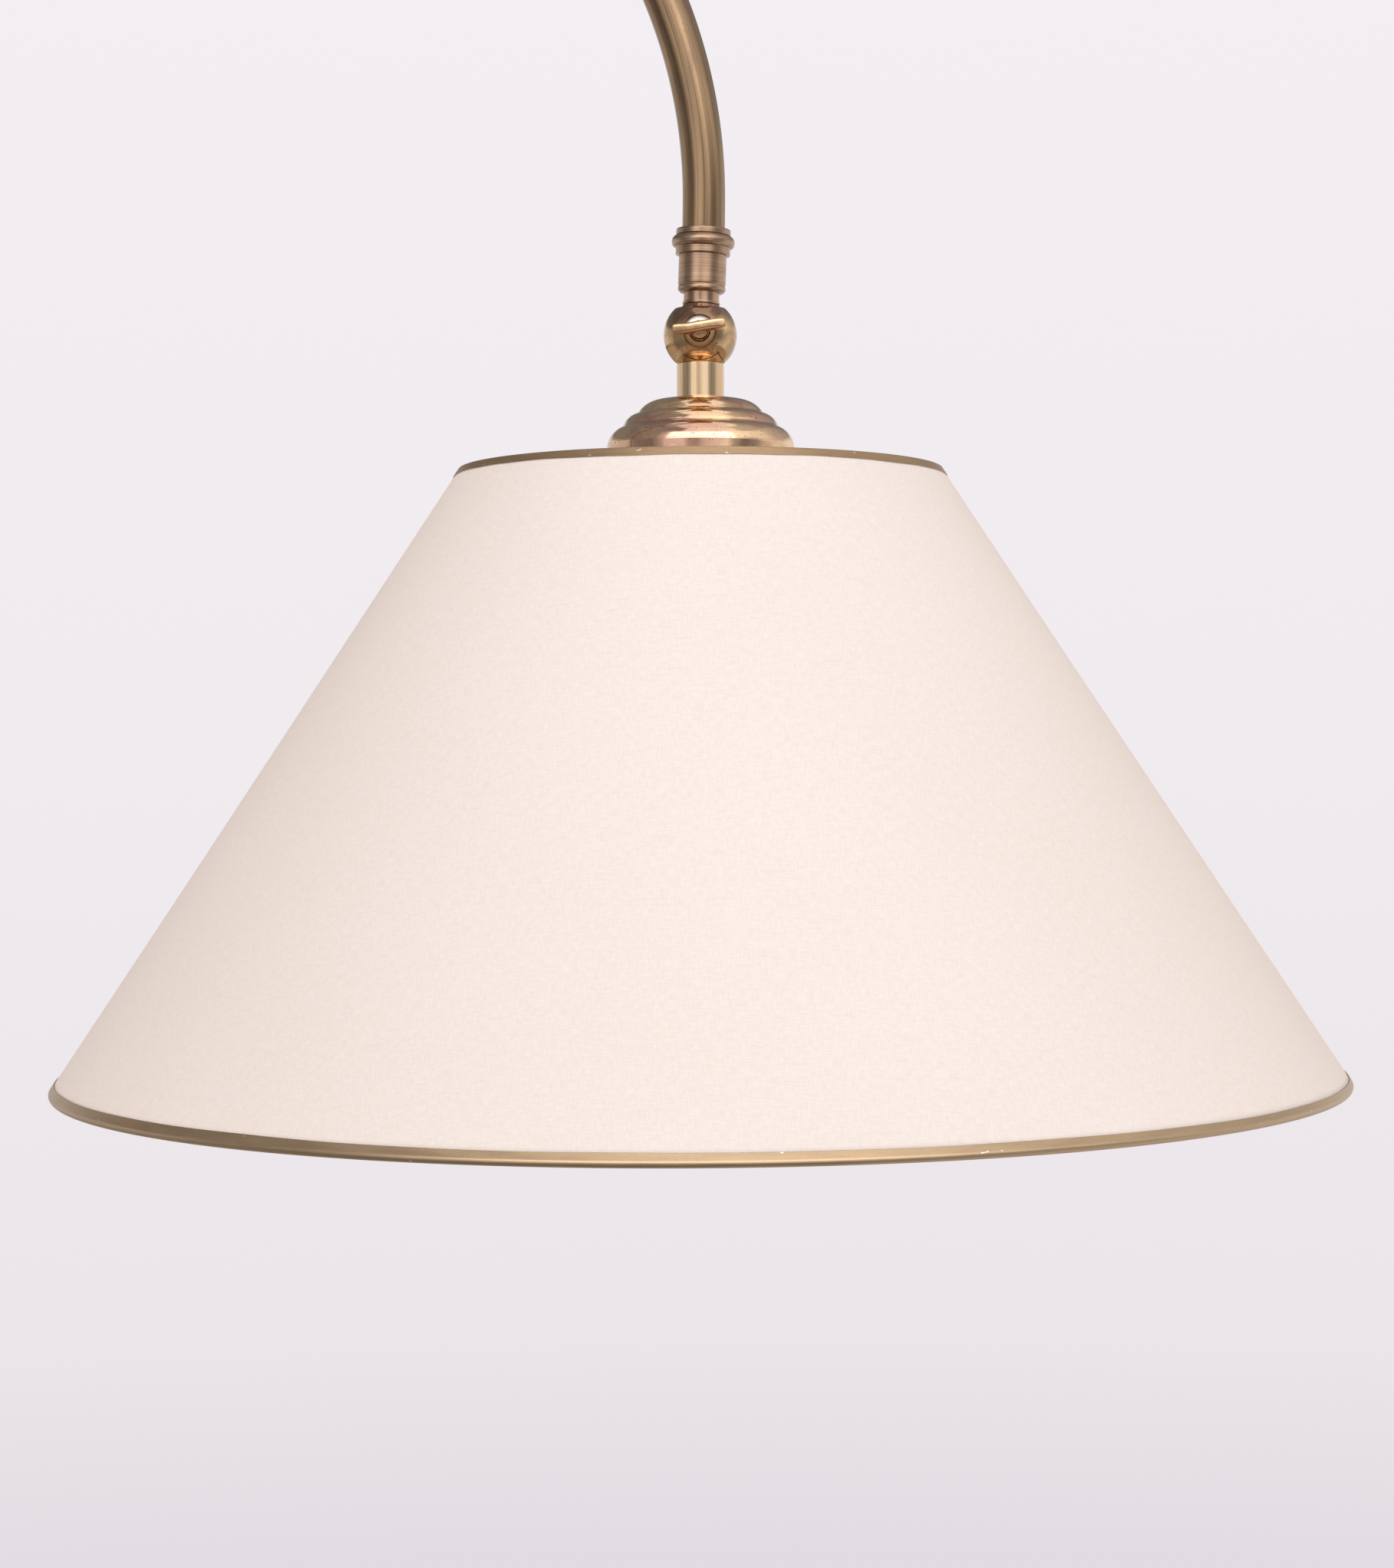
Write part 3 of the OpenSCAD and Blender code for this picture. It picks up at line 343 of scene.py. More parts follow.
# The ball goes darker towards the top: its colour runs from clean at its centre's height to the
# dark colour six millimetres above it
ballFinish = dict(
    objectTurned, clean=colour(232, 194, 142), tarnish=colour(158, 124, 102),
    lineColour=colour(120, 90, 70), lineDepth=0.2, lineScale=(300, 300, 300),
    cloudScale=(90, 90, 90), tarnishFrom=0.38, tarnishTo=0.62, smooth=0.08, rough=0.17,
    pitScale=(620, 620, 620), pitFrom=0.66, pitDepth=0.7, pitColour=colour(84, 58, 44),
    pitBump=0.012, tarnishRise=(0, 6))
screwFinish = dict(
    objectTurned, clean=colour(220, 184, 144), tarnish=colour(172, 134, 102), pitDepth=0.15,
    cloudScale=(160, 160, 160), lineScale=(150, 150, 150), lineDepth=0.08, lineBump=0.0,
    pitBump=0.0, smooth=0.16, rough=0.22)
innerFinish = dict(
    objectTurned, clean=colour(214, 186, 128), tarnish=colour(186, 154, 104), smooth=0.22,
    rough=0.34)
# Painted highlight and shade: the near-white clean colour stands for a highlight on the washer's
# top and the darker gold below stands for shade; it is half metal, so the lamps light the white
washerHighlightFinish = dict(
    innerFinish, clean=colour(255, 252, 240), tarnish=colour(176, 138, 92), smooth=0.3,
    rough=0.45, lineDepth=0.1, pitDepth=0.1, tarnishRise=(1.2, -0.4), metallic=0.3)

brass("antiqueTube", alongTube)
brass("antiqueTurned", roundTurning)
brass("rubbedStem", stemFinish)
brass("antiqueColumn", objectTube)
brass("antiqueRings", objectTurned)
brass("polishedNeck", neckFinish)
brass("polishedCap", capFinish)
brass("bronzedBall", ballFinish)
brass("bronzedScrew", screwFinish)
brass("plainBrass", innerFinish)
brass("brightWasher", washerHighlightFinish)

fabricLook = {
    "front": colour(252, 244, 239), "shadeTone": colour(248, 236, 228), "toneScale": (9, 9, 1),
    "threadPitch": 0.55, "threadBump": 0.09,  # millimetres
    "threadRun": 0.16,  # the noise along a thread against that across it
    "threadTone": (0.93, 0.88, 0.83, 1), "threadDepth": 0.7,
    "slubScale": (60, 900, 1), "slubDepth": 0.12, "slubColour": colour(214, 190, 160),
}


def linenFabric(v):
    # Two sets of threads across each other, broken by noise, with slubs and a slow change of tone
    g = Graph("linenFabric")
    pitch = 1.0 / (v["threadPitch"] * mm)
    across = g.noise(g.place("UV", (pitch * v["threadRun"], pitch, 1)), 3.0, 0.6)
    upright = g.noise(g.place("UV", (pitch, pitch * v["threadRun"], 1)), 3.0, 0.6)
    slubs = g.noise(g.place("UV", v["slubScale"]), 2.0, 0.5)
    slow = g.noise(g.place("UV", v["toneScale"]), 3.0, 0.5)
    threads = g.sums("ADD", g.sums("MULTIPLY", across, 0.5), g.sums("MULTIPLY", upright, 0.5))
    base = g.mix(g.spread(slow, 0.3, 0.7, 0.0, 0.3), v["front"], v["shadeTone"])
    threadMask = g.spread(threads, 0.38, 0.62, 0.0, v["threadDepth"])
    base = g.mix(threadMask, base, v["threadTone"], "MULTIPLY")
    base = g.mix(g.spread(slubs, 0.62, 0.8, 0.0, v["slubDepth"]), base, v["slubColour"])
    normal = g.bump(threads, v["threadBump"] * mm, 0.8)
    g.finish({"Base Color": base, "Roughness": 0.85, "Normal": normal, "Sheen Weight": 0.15,
              "Sheen Roughness": 0.5, "Specular IOR Level": 0.25})


tapeLook = {
    "tone": colour(184, 152, 119), "worn": colour(194, 162, 128), "dark": colour(132, 110, 84),
    "nick": colour(244, 238, 228), "darkDepth": 0.35, "nickDepth": 0.9, "nickFrom": 0.735,
    "metallic": 0.9, "smooth": 0.36, "rough": 0.46,
}
lowTapeLook = dict(
    tapeLook, tone=colour(192, 164, 132), worn=colour(202, 173, 140), dark=colour(160, 136, 106),
    nick=colour(246, 240, 228), metallic=0.95, rough=0.44)


def goldTape(name, v):
    # Dull gold paper: fine cross wrinkles, worn paler spots and small nicks
    g = Graph(name)
    grain = g.noise(g.place("UV", (700, 2600, 1)), 4.0, 0.6)
    wear = g.noise(g.place("UV", (60, 500, 1)), 5.0, 0.6)
    nicks = g.noise(g.place("UV", (240, 500, 1)), 1.0, 0.5)
    base = g.mix(g.spread(wear, 0.4, 0.7), v["tone"], v["worn"])
    base = g.mix(g.spread(grain, 0.5, 0.75, 0.0, v["darkDepth"]), base, v["dark"])
    nickMask = g.spread(nicks, v["nickFrom"], v["nickFrom"] + 0.015, 0.0, v["nickDepth"])
    base = g.mix(nickMask, base, v["nick"])
    rough = g.spread(wear, 0.3, 0.7, v["smooth"], v["rough"])
    g.finish({"Base Color": base, "Metallic": v["metallic"], "Roughness": rough,
              "Normal": g.bump(grain, 0.01 * mm)})


def plainFinish(name, tone, other, rough, scale, bumpSize, metallic=0.0):
    # Two near tones mixed by fine and slow noise, with a bump of the fine grain
    g = Graph(name)
    grain = g.noise(g.place("Object", (scale,) * 3), 5.0, 0.6)
    slow = g.noise(g.place("Object", (scale * 0.06,) * 3), 3.0, 0.5)
    both = g.sums("ADD", g.sums("MULTIPLY", grain, 0.5), g.sums("MULTIPLY", slow, 0.5))
    base = g.mix(g.spread(both, 0.35, 0.65), tone, other)
    uneven = g.spread(grain, 0.3, 0.7, rough * 0.85, min(1.0, rough * 1.15))
    g.finish({"Base Color": base, "Metallic": metallic, "Roughness": uneven,
              "Normal": g.bump(grain, bumpSize * mm)})


def opalGlass():
    # White glass frosted inside: mostly a milky body under a clear coat
    g = Graph("opalGlass")
    cloud = g.noise(g.place("Object", (40, 40, 40)), 3.0)
    base = g.mix(g.spread(cloud, 0.4, 0.6), colour(246, 244, 238), colour(240, 237, 228))
    g.finish({"Base Color": base, "Roughness": 0.35, "Subsurface Weight": 0.4,
              "Subsurface Scale": 0.006, "Coat Weight": 0.8, "Coat Roughness": 0.06})


linenFabric(fabricLook)
goldTape("topTape", tapeLook)
goldTape("bottomTape", lowTapeLook)
opalGlass()
for name, tone, other, *grain in (  # roughness, grains in a metre, bump in millimetres, metal
        ("castIron", (44, 44, 46), (58, 58, 60), 0.7, 700, 0.2),
        ("woolFelt", (38, 44, 40), (56, 62, 56), 0.95, 2200, 0.15),
        ("nylon", (232, 230, 220), (222, 219, 206), 0.45, 300, 0.01),
        ("whiteWire", (226, 226, 222), (214, 213, 208), 0.4, 900, 0.02),
        ("zincSteel", (196, 198, 200), (172, 174, 178), 0.28, 900, 0.01, 1.0),
        ("phenolic", (28, 26, 25), (38, 35, 33), 0.38, 500, 0.01)):
    plainFinish(name, colour(*tone), colour(*other), *grain)

finishOf = {
    "antiqueColumn": ["column_tube", "mast_tube"],
    "antiqueRings": ["base_cover", "foot_collar", "clamp_collar", "swivel_socket",
                     "root_collar"],
    "castIron": ["base_weight"], "woolFelt": ["base_pad"],
    "nylon": ["guide_liner", "mast_bush"],
    "plainBrass": ["base_washer", "base_nut", "column_foot", "swivel_spigot", "cap_nut",
                   "head_nipple", "hub_spacer", "holder_shell", "centre_contact"],
    "phenolic": ["cord_bush", "holder_cap", "holder_body"],
    "bronzedScrew": ["height_screw", "knuckle_screw"],
    "bronzedBall": ["knuckle_front", "knuckle_back"],
    "brightWasher": ["knuckle_washer"],
    "whiteWire": ["shade_fitter", "bottom_ring"],
    "zincSteel": ["swivel_clip", "bulb_base"], "opalGlass": ["bulb_glass"],
    "linenFabric": ["shade_skin"], "topTape": ["top_trim"], "bottomTape": ["bottom_trim"],
    "antiqueTube": ["arm_tube"],
    "antiqueTurned": ["arm_ferrule", "end_sleeve", "joint_stem"],
    "polishedNeck": ["neck_sleeve"], "polishedCap": ["shade_cap"],
}
for finish, names in finishOf.items():
    for name in names:
        slots = nodes[name].data.materials
        for i in range(len(slots)):
            slots[i] = bpy.data.materials[finish]
        if not slots:
            slots.append(bpy.data.materials[finish])
print("finishes made")

arm = {
    "tube": 15.0, "wall": 1.1,      # millimetres
    "lean": 2.1,                    # degrees, of the arm's end
    "seat": 34.0,                   # arm's end above the ball's centre, along the lean
    "endBend": 430.0,               # radius of the slow bend into the ferrule
    "stepsRound": 96, "stepsAlong": 420,
}


def armTube(v):
    # Section circle carried up the leg, half round the arch and down the slow bend: at each
    # length s the turned angle gives the centre and the outward normal; the outside goes up and
    # the inside comes back, so the wall is closed at both ends
    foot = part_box("arm_tube")[0][2]
    outer, inner = v["tube"] / 2 * mm, (v["tube"] / 2 - v["wall"]) * mm
    lean, bend, seat = math.radians(v["lean"]), v["endBend"] * mm, v["seat"] * mm
    radius = (ball[0] + seat * math.sin(lean) + bend * (1 - math.cos(lean))) / 2
    centreZ = ball[2] + seat * math.cos(lean) + bend * math.sin(lean)
    leg = centreZ - foot
    arch = radius * math.pi
    s = np.linspace(0, leg + arch + bend * lean, v["stepsAlong"])
    onArch = np.clip(s - leg, 0, arch) / radius          # 0 on the leg, up to half a turn
    onBend = np.clip(s - leg - arch, 0, None) / bend
    angle = onArch + onBend
    x = radius - radius * np.cos(onArch) - bend * (1 - np.cos(onBend))
    z = np.where(s < leg, foot + s, centreZ + radius * np.sin(onArch) - bend * np.sin(onBend))
    centre = np.stack([x, 0 * s, z], -1)
    outward = np.stack([-np.cos(angle), 0 * s, np.sin(angle)], -1)
    t = np.linspace(0, 2 * np.pi, v["stepsRound"], endpoint=False)
    side = np.array([0.0, -1.0, 0.0])

    def wallRows(r):
        across = np.cos(t)[None, :, None] * outward[:, None] + np.sin(t)[None, :, None] * side
        return centre[:, None] + r * across

    grid = np.concatenate([wallRows(outer), wallRows(inner)[::-1]])
    along = np.concatenate([s, s[::-1], s[:1]])
    around = np.linspace(0, 2 * np.pi * outer, len(t) + 1)
    uv = np.stack(np.meshgrid(around, along), -1)
    makeObject("armTube", *loopGrid(grid, uv, True), body="arm", material="antiqueTube",
               slot="antique_brass", replaced=("arm_tube",))


armTube(arm)

# millimetres, with heights above the ball's centre
ferrule = {
    "bore": 6.4, "ring": (9.6, 28.2, 30.7),  # radius, low, high
    "bead": (11.0, 9.1, 30.7, 35.1),         # radius at the belly and at the end, low, high
    "disc": (9.6, 35.1, 37.2), "bellyAt": 0.3, "sags": (-0.35, -0.8),
    "edges": ((0.1, 0.22, 0.12, 0.1), (0.15, 0.45, 0.1)),  # rounds below and above the bead
}
sleeve = {
    "radius": 8.4, "bore": 6.35, "low": 14.9, "high": 28.2, "chamfer": 0.9,
    "groove": 2.4, "grooveWidth": 0.5, "grooveDepth": 0.35,
    "edges": (0.1, 0.3, 0.3, 0.15, 0.25, 0.15, 0.12, 0.1),
}
stem = {
    "radius": 6.3, "bore": 5.1, "low": 10.8, "high": 36.2, "ring": 0.35, "ringHigh": 0.7,
    "edges": (0.1, 0.25, 0.25, 0.1, 0.1, 0.1),
}


def armFerrule(v):
    # Ring, bead as two arcs, and disc; every edge rounded a little
    ringR, ringLow, ringHigh = v["ring"]
    beadR, beadEnd, beadLow, beadHigh = v["bead"]
    discR, discLow, discHigh = v["disc"]
    belly = (beadR, beadLow + (beadHigh - beadLow) * v["bellyAt"])
    outline = [(v["bore"], ringLow), (ringR, ringLow), (ringR, ringHigh), (discR, beadLow)]
    radii = [*v["edges"][0]]
    for end, sag in zip((belly, (beadEnd, beadHigh)), v["sags"]):
        arc = bow(outline[-1], end, sag, 14)
        outline += [tuple(p) for p in arc]
        radii += [1e-4] * len(arc)
    outline += [(discR, discLow), (discR, discHigh), (v["bore"], discHigh)]
    return roundProfile(np.array(outline) * mm, np.array(radii + [*v["edges"][1]]) * mm, 4)


def sleeveOutline(v):
    # Plain wall with a chamfered foot and a round-bottomed groove
    r, low, g, w = v["radius"], v["low"], v["low"] + v["groove"], v["grooveWidth"]
    outline = [(v["bore"], low), (r - v["chamfer"], low), (r, low + v["chamfer"]), (r, g - w),
               (r - v["grooveDepth"], g), (r, g + w), (r, v["high"]), (v["bore"], v["high"])]
    return roundProfile(np.array(outline) * mm, np.array(v["edges"]) * mm)


def footedTube(v):
    # Plain wall with a low ring round its foot
    wide, step = v["radius"] + v["ring"], v["low"] + v["ringHigh"]
    outline = [(v["bore"], v["low"]), (wide, v["low"]), (wide, step), (v["radius"], step + 0.1),
               (v["radius"], v["high"]), (v["bore"], v["high"])]
    return roundProfile(np.array(outline) * mm, np.array(v["edges"]) * mm)


turned("armFerrule", armFerrule(ferrule), ball, arm["lean"], body="arm",
       material="antiqueTurned", slot="antique_brass", replaced=("arm_ferrule",))
turned("endSleeve", sleeveOutline(sleeve), ball, arm["lean"], body="arm",
       material="antiqueTurned", slot="antique_brass", replaced=("end_sleeve",))
turned("jointStem", footedTube(stem), ball, arm["lean"], body="arm",
       material="rubbedStem", slot="antique_brass", replaced=("joint_stem",))
print("arm made")

# from the ball's centre to the face that the screw's collar bears on
bearing = ball[1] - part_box("knuckle_washer")[0][1]

washer = {  # millimetres, from the bearing face
    "radius": 5.75, "bore": 3.15, "cup": 3.75, "edge": 0.95, "crown": 1.9, "sag": 0.14,
    "gap": 0.03,  # keeps the screw's collar free to turn
}


def washerOutline(v):
    # Cup washer round the screw's collar: its front swells from the outer edge up to the cup
    back = (ball[1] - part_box("knuckle_washer")[1][1] - bearing) / mm
    front = bow((v["radius"], v["edge"]), (v["cup"], v["crown"]), -v["sag"], 8)
    outline = [(v["bore"], back), (v["radius"], back), (v["radius"], v["edge"])]
    outline += [tuple(p) for p in front] + [(v["cup"], -v["gap"]), (v["bore"], -v["gap"])]
    return roundProfile(np.array(outline) * mm, 0.08 * mm) + np.array([0, bearing])


# the cup washer wears the painted highlight and shade finish
turned("cupWasher", washerOutline(washer), ball, steps=96, toFront=True, body="arm",
       material="brightWasher", slot="polished_brass", replaced=("knuckle_washer",))

wing = {  # millimetres from the bearing face
    "shank": 3.0, "collar": 3.6, "collarHigh": 2.2, "swell": 0.9, "neck": 2.9, "core": 0.4,
    "half": 9.15, "thick": 3.7, "rootHalf": 3.5, "back": 4.2, "front": 13.5, "tipBack": 11.4,
    "sweep": 0.75,                          # how soon the back edge moves to the tips
    "tipPower": 7, "leastTip": 0.3,         # how late the wing shrinks, and to what share
    "thinner": 0.08, "corners": 0.45,       # thinner at the tips; 1 gives an oval section
    "bend": 0.25, "bendWave": 2.6, "offset": 0.4,  # the bend, and how far it sits off the axis
    "turn": 6.0, "stations": 49, "round": 36,
}


def screwOutline(v, shank):
    # Shank, a collar that swells to the front, and a neck that runs into the wing
    neckEnd = v["back"] + 1.5
    rim = (v["collar"], v["collarHigh"] - v["swell"])
    swell = bow(rim, (v["neck"] + 0.2, v["collarHigh"]), -0.1, 8)
    outline = [(v["core"], -shank), (v["shank"], -shank), (v["shank"], 0.0), (v["collar"], 0.0),
               rim] + [tuple(p) for p in swell]
    return roundProfile(np.array(outline + [(v["neck"], neckEnd), (v["core"], neckEnd)]), 0.1)


def wingShape(v):
    # Cross sections along the wing, rounded boxes that shrink to the tips; the back edge sweeps
    # from the root to the tips and the wing bends a little as a worn casting does
    x = np.sin(np.linspace(-1, 1, v["stations"]) * np.pi / 2)
    a = np.linspace(0, 2 * np.pi, v["round"], endpoint=False) + np.pi / v["round"]
    out = (np.abs(x) * v["half"] - v["rootHalf"]) / (v["half"] - v["rootHalf"])
    power = v["tipPower"]
    shrink = np.maximum((1 - np.abs(x) ** power) ** (1 / power), v["leastTip"])
    back = v["back"] + (v["tipBack"] - v["back"]) * np.clip(out, 0, 1) ** v["sweep"]
    middle, deep = (v["front"] + back) / 2, (v["front"] - back) / 2 * shrink
    thick = v["thick"] / 2 * shrink * (1 - v["thinner"] * np.abs(x))
    box = [np.sign(f(a)) * np.abs(f(a)) ** v["corners"] for f in (np.cos, np.sin)]
    lift = v["bend"] * np.sin(x * v["bendWave"]) + v["offset"]
    return np.stack([x[:, None] * v["half"] + 0 * a, middle[:, None] + deep[:, None] * box[0],
                     lift[:, None] + thick[:, None] * box[1]], -1)


def addScrew(v):
    # The wing and the turned part overlap and make one piece, turned about the screw's axis
    shank = (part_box("knuckle_screw")[1][1] - ball[1] + bearing) / mm
    outline = anticlockwise(screwOutline(v, shank))
    t = np.linspace(0, 2 * np.pi, 96, endpoint=False)
    r, h = outline[:, 0][:, None], outline[:, 1][:, None] + 0 * t
    core = np.stack([r * np.cos(t), h, r * np.sin(t)], -1)
    points, faces, _ = loopGrid(core, closeRows=True)
    more, moreFaces, _ = loopGrid(wingShape(v))
    n, last = v["round"], (v["stations"] - 1) * v["round"]
    i = np.arange(n // 2 - 1)
    ladder = np.stack([i, i + 1, n - 2 - i, n - 1 - i], -1)  # closes an end, side to side
    moreFaces = np.concatenate([moreFaces, ladder[:, ::-1], ladder + last])[:, ::-1]
    faces = np.concatenate([faces, moreFaces + len(points)])
    p = np.concatenate([points, more])
    c, w = math.cos(math.radians(v["turn"])), math.sin(math.radians(v["turn"]))
    p = np.stack([p[:, 0] * c - p[:, 2] * w, -p[:, 1], p[:, 0] * w + p[:, 2] * c], -1) * mm
    makeObject("wingScrew", p + ball - np.array([0, bearing, 0]), faces, body="knuckle_screw",
               material="bronzedScrew", slot="bronzed_brass", replaced=("knuckle_screw",))


addScrew(wing)
print("washer and screw made")

neck = {
    "radius": 8.3, "bore": 7.1, "low": -22.9, "high": -10.2, "ring": 0.3, "ringHigh": 0.8,
    "edges": (0.1, 0.3, 0.3, 0.1, 0.12, 0.1),
}
cap = {
    "top": 13.5, "tiers": (22.0, 27.4, 33.0), "heights": (4.4, 4.8, 10.4), "wall": 0.9,
    "sags": (1.3, 0.9, 1.3), "hole": 5.0, "crease": 0.5, "bellyAt": 0.72, "footInset": 0.1,
    "edge": 0.16,
}


def capOutline(v, top):
    # Three tiers that each swell to a crease, spun from one sheet: the outside goes down,
    # the inside comes back up one wall further in
    def side(inset):
        z, crease = top - inset, v["crease"]
        first = (v["tiers"][0] - inset, top - v["heights"][0] - inset)
        second = (v["tiers"][1] - inset, first[1] - v["heights"][1])
        belly = (v["tiers"][2] - inset, second[1] - v["heights"][2] * v["bellyAt"])
        foot = (v["tiers"][2] - v["footInset"] - inset, top - sum(v["heights"]))
        points = [(v["hole"], z), (v["top"] - inset, z)]
        for start, end, sag in zip((None, first, second), (first, second, belly), v["sags"]):
            if start:
                points.append((start[0] + crease, start[1] - crease))
            points += [tuple(p) for p in bow(points[-1], end, sag, 12)]
        return points + [foot]

    outside, inside = side(0.0), side(v["wall"])
    return roundProfile(np.array(outside + inside[::-1]) * mm, v["edge"] * mm, 3)


turned("neckSleeve", footedTube(neck), ball, steps=128, body="head", material="polishedNeck",
       slot="polished_brass", replaced=("neck_sleeve",))
turned("shadeCap", capOutline(cap, neck["low"]), ball, steps=220, body="head",
       material="polishedCap", slot="polished_brass", replaced=("shade_cap",))
print("neck and cap made")

shade = {  # millimetres, with heights above the ball's centre
    "topRadius": 84.8, "bottomRadius": 225.3, "height": 214.2, "top": -47.9, "wall": 1.2,
    "skinEnd": 2.6,            # the fabric ends this far above the bottom edge
    "wire": 1.1, "tape": 0.3, "topTape": 2.4, "ringWidth": 3.0, "bottomTape": 1.35,
    "tapeGap": 0.05,           # between the lower tape and what it is folded round
    "wander": (0.12, 0.1),     # how far the free edges of the upper and lower tape wander
    "wanderWaves": ((5, 1.0, 1.0), (11, 0.6, 0.4), (23, 0.4, 2.0)),  # waves, share, start
    "handLaid": 0.4,           # the lower tape stands this much higher on the left than midway
    "wave": 0.16, "lap": 9.0, "lapThickness": 0.35,  # slow waves, and the lapped seam at the back
    "stepsRound": 480, "stepsDown": 72,
}


def coneSlope(v):
    # Radius gained for each millimetre down, and the length run down the slope for it
    slope = (v["bottomRadius"] - v["topRadius"]) / v["height"]
    return slope, math.hypot(1, slope)


def coneRadius(v, z):
    # Outer radius at a height: the top radius and the slope times the way down
    return v["topRadius"] + (v["top"] - z) * coneSlope(v)[0]


def shadeWave(v, t, k):
    # Slow unevenness of the laminate, none at the two edges: k runs 0 to 1 down the slope
    free = np.sin(np.pi * np.clip(k, 0, 1))
    waves = np.sin(3 * t) + 0.6 * np.sin(7 * t) + 0.4 * np.sin(12 * t) * np.cos(4 * k)
    return v["wave"] * free * waves


def shadeFabric(v):
    # Outer and inner cones joined at both ends; the lap doubles the outside near the back seam;
    # uv is the flat pattern of the cone, with its grain upright at the front
    slope, length = coneSlope(v)
    steps = v["stepsRound"]
    t = np.linspace(0, 2 * np.pi, steps, endpoint=False) + np.pi / 2
    k = np.linspace(0, 1, v["stepsDown"])
    lowZ = v["top"] - v["height"] + v["skinEnd"]
    z = v["top"] + (lowZ - v["top"]) * k
    fromSeam = np.abs((t - np.pi / 2 + np.pi) % (2 * np.pi) - np.pi)
    radius = coneRadius(v, z)[:, None]
    wavy = radius + shadeWave(v, t[None, :], k[:, None]) * length
    lapHere = np.clip(1.5 - fromSeam[None, :] * radius / v["lap"] * 2, 0, 1)
    outer, inner = wavy + v["lapThickness"] * lapHere, wavy - v["wall"] * length
    outer, inner = (np.stack([r * np.cos(t), r * np.sin(t), z[:, None] * np.ones(steps)], -1)
                    for r in (outer, inner))
    grid = np.concatenate([outer, inner[::-1]])[::-1]
    sine = slope / length
    rows = np.concatenate([z, z[::-1]])[::-1]
    rows = np.append(rows, rows[0])
    far = coneRadius(v, rows)[:, None] / sine                    # distance from the cone's tip
    phi = (np.linspace(0, 2 * np.pi, steps + 1) - np.pi) * sine  # 0 at the front
    uv = np.stack([far * np.sin(phi), -far * np.cos(phi)], -1) * mm
    makeObject("shadeFabric", *loopGrid(grid * mm + ball, uv, True), body="head",
               material="linenFabric", slot="shade_fabric", replaced=("shade_skin",))


shadeFabric(shade)


def tapeRing(name, outline, v, wander, drift=0.0, **facts):
    # Outline (radius, height, share) turned round the shade, its free edge wandering a little
    # as hand-laid tape does: each point moves along the slope by its share of the shift
    profile, share = outline[:, :2], outline[:, 2]
    t = np.linspace(0, 2 * np.pi, v["stepsRound"], endpoint=False)
    shift = wander * sum(part * np.sin(n * t + start) for n, part, start in v["wanderWaves"])
    shiftZ = share[:, None] * (shift - drift * np.cos(t))[None, :]
    r = profile[:, 0][:, None] - shiftZ * coneSlope(v)[0]
    z = profile[:, 1][:, None] + shiftZ
    grid = np.stack([r * np.cos(t), r * np.sin(t), z], -1)
    uv = surfacePlace(profile, v["stepsRound"]) * mm
    makeObject(name, *loopGrid(grid * mm + ball, uv, True), body="head", slot="gold_tape",
               **facts)


def topTapeOutline(v):
    # Band down the outside, round over the top edge and flat over the ring
    length = coneSlope(v)[1]
    level = v["tape"] * length
    low, top, edge = v["top"] - v["topTape"], v["top"], v["topRadius"]
    inner = edge - v["wall"] * length - v["ringWidth"]
    rows = [(coneRadius(v, low), low, 1)]
    rows += [(coneRadius(v, z) + level, z, (top - z) / (top - low))  # several keep the band flat
             for z in low + (top - low) * np.array([0.0, 0.03, 0.1, 0.5, 0.88, 0.94])]
    rows += [(r, top + v["tape"] * high, 0) for r, high in (
        (edge + level * 0.9, 0.3), (edge + level * 0.5, 0.8), (edge - 0.5, 1), (inner, 1),
        (inner - 0.4, 0.5), (inner - 0.3, 0), (edge, 0))]
    return np.array(rows[::-1])


def bottomTapeOutline(v):
    # Band down the fabric and round the wire: points are (off the fabric, along it) from the
    # wire's centre, then turned to the slope
    slope, length = coneSlope(v)
    wireZ = v["top"] - v["height"] + v["wire"] + v["tape"]
    centre = np.array([coneRadius(v, wireZ) - v["wire"] * length, wireZ])
    off, up = np.array([1, slope]) / length, np.array([-slope, 1]) / length
    high = v["wire"] + v["bottomTape"]

    def way(lift):
        # Down the outside, where wire and fabric are level, round the wire and up the inside
        r, inside = v["wire"] + lift, v["wall"] - v["wire"] + lift
        a = -(math.pi + math.acos(inside / r)) * np.linspace(0, 1, 28)
        body = np.stack([r * np.cos(a), r * np.sin(a)], -1)
        share = np.array([1.0, 0.97, 0.9, 0.5, 0.06])  # several rows, so that the band stays flat
        outFlat, inFlat = high * share, body[-1, 1] + (high - body[-1, 1]) * share[::-1]
        return np.concatenate([np.column_stack([r + 0 * outFlat, outFlat]), body,
                               np.column_stack([-inside + 0 * inFlat, inFlat])])

    outer, inner = way(v["tapeGap"] + v["tape"]), way(v["tapeGap"])
    local = np.concatenate([outer, inner[::-1]])
    share = np.clip(local[:, 1] / high, 0, 1) * (local[:, 0] > 0)
    place = centre + local[:, :1] * off + local[:, 1:] * up
    return np.column_stack([place, share])[::-1]


def wireOutline(v):
    # Round section, level with the fabric's outside, in the folded tape
    z = v["top"] - v["height"] + v["wire"] + v["tape"]
    a = np.linspace(0, 2 * np.pi, 20, endpoint=False)
    r = coneRadius(v, z) - v["wire"] * coneSlope(v)[1]
    return np.column_stack([r + v["wire"] * np.cos(a), z + v["wire"] * np.sin(a)]) * mm


tapeRing("topTrim", topTapeOutline(shade), shade, shade["wander"][0], material="topTape",
         replaced=("top_trim",))
tapeRing("bottomTrim", bottomTapeOutline(shade), shade, shade["wander"][1], shade["handLaid"],
         material="bottomTape", replaced=("bottom_trim",))
turned("bottomWire", wireOutline(shade), ball, steps=240, body="head",
       material="whiteWire", slot="white_wire", replaced=("bottom_ring",))
print("shade made")

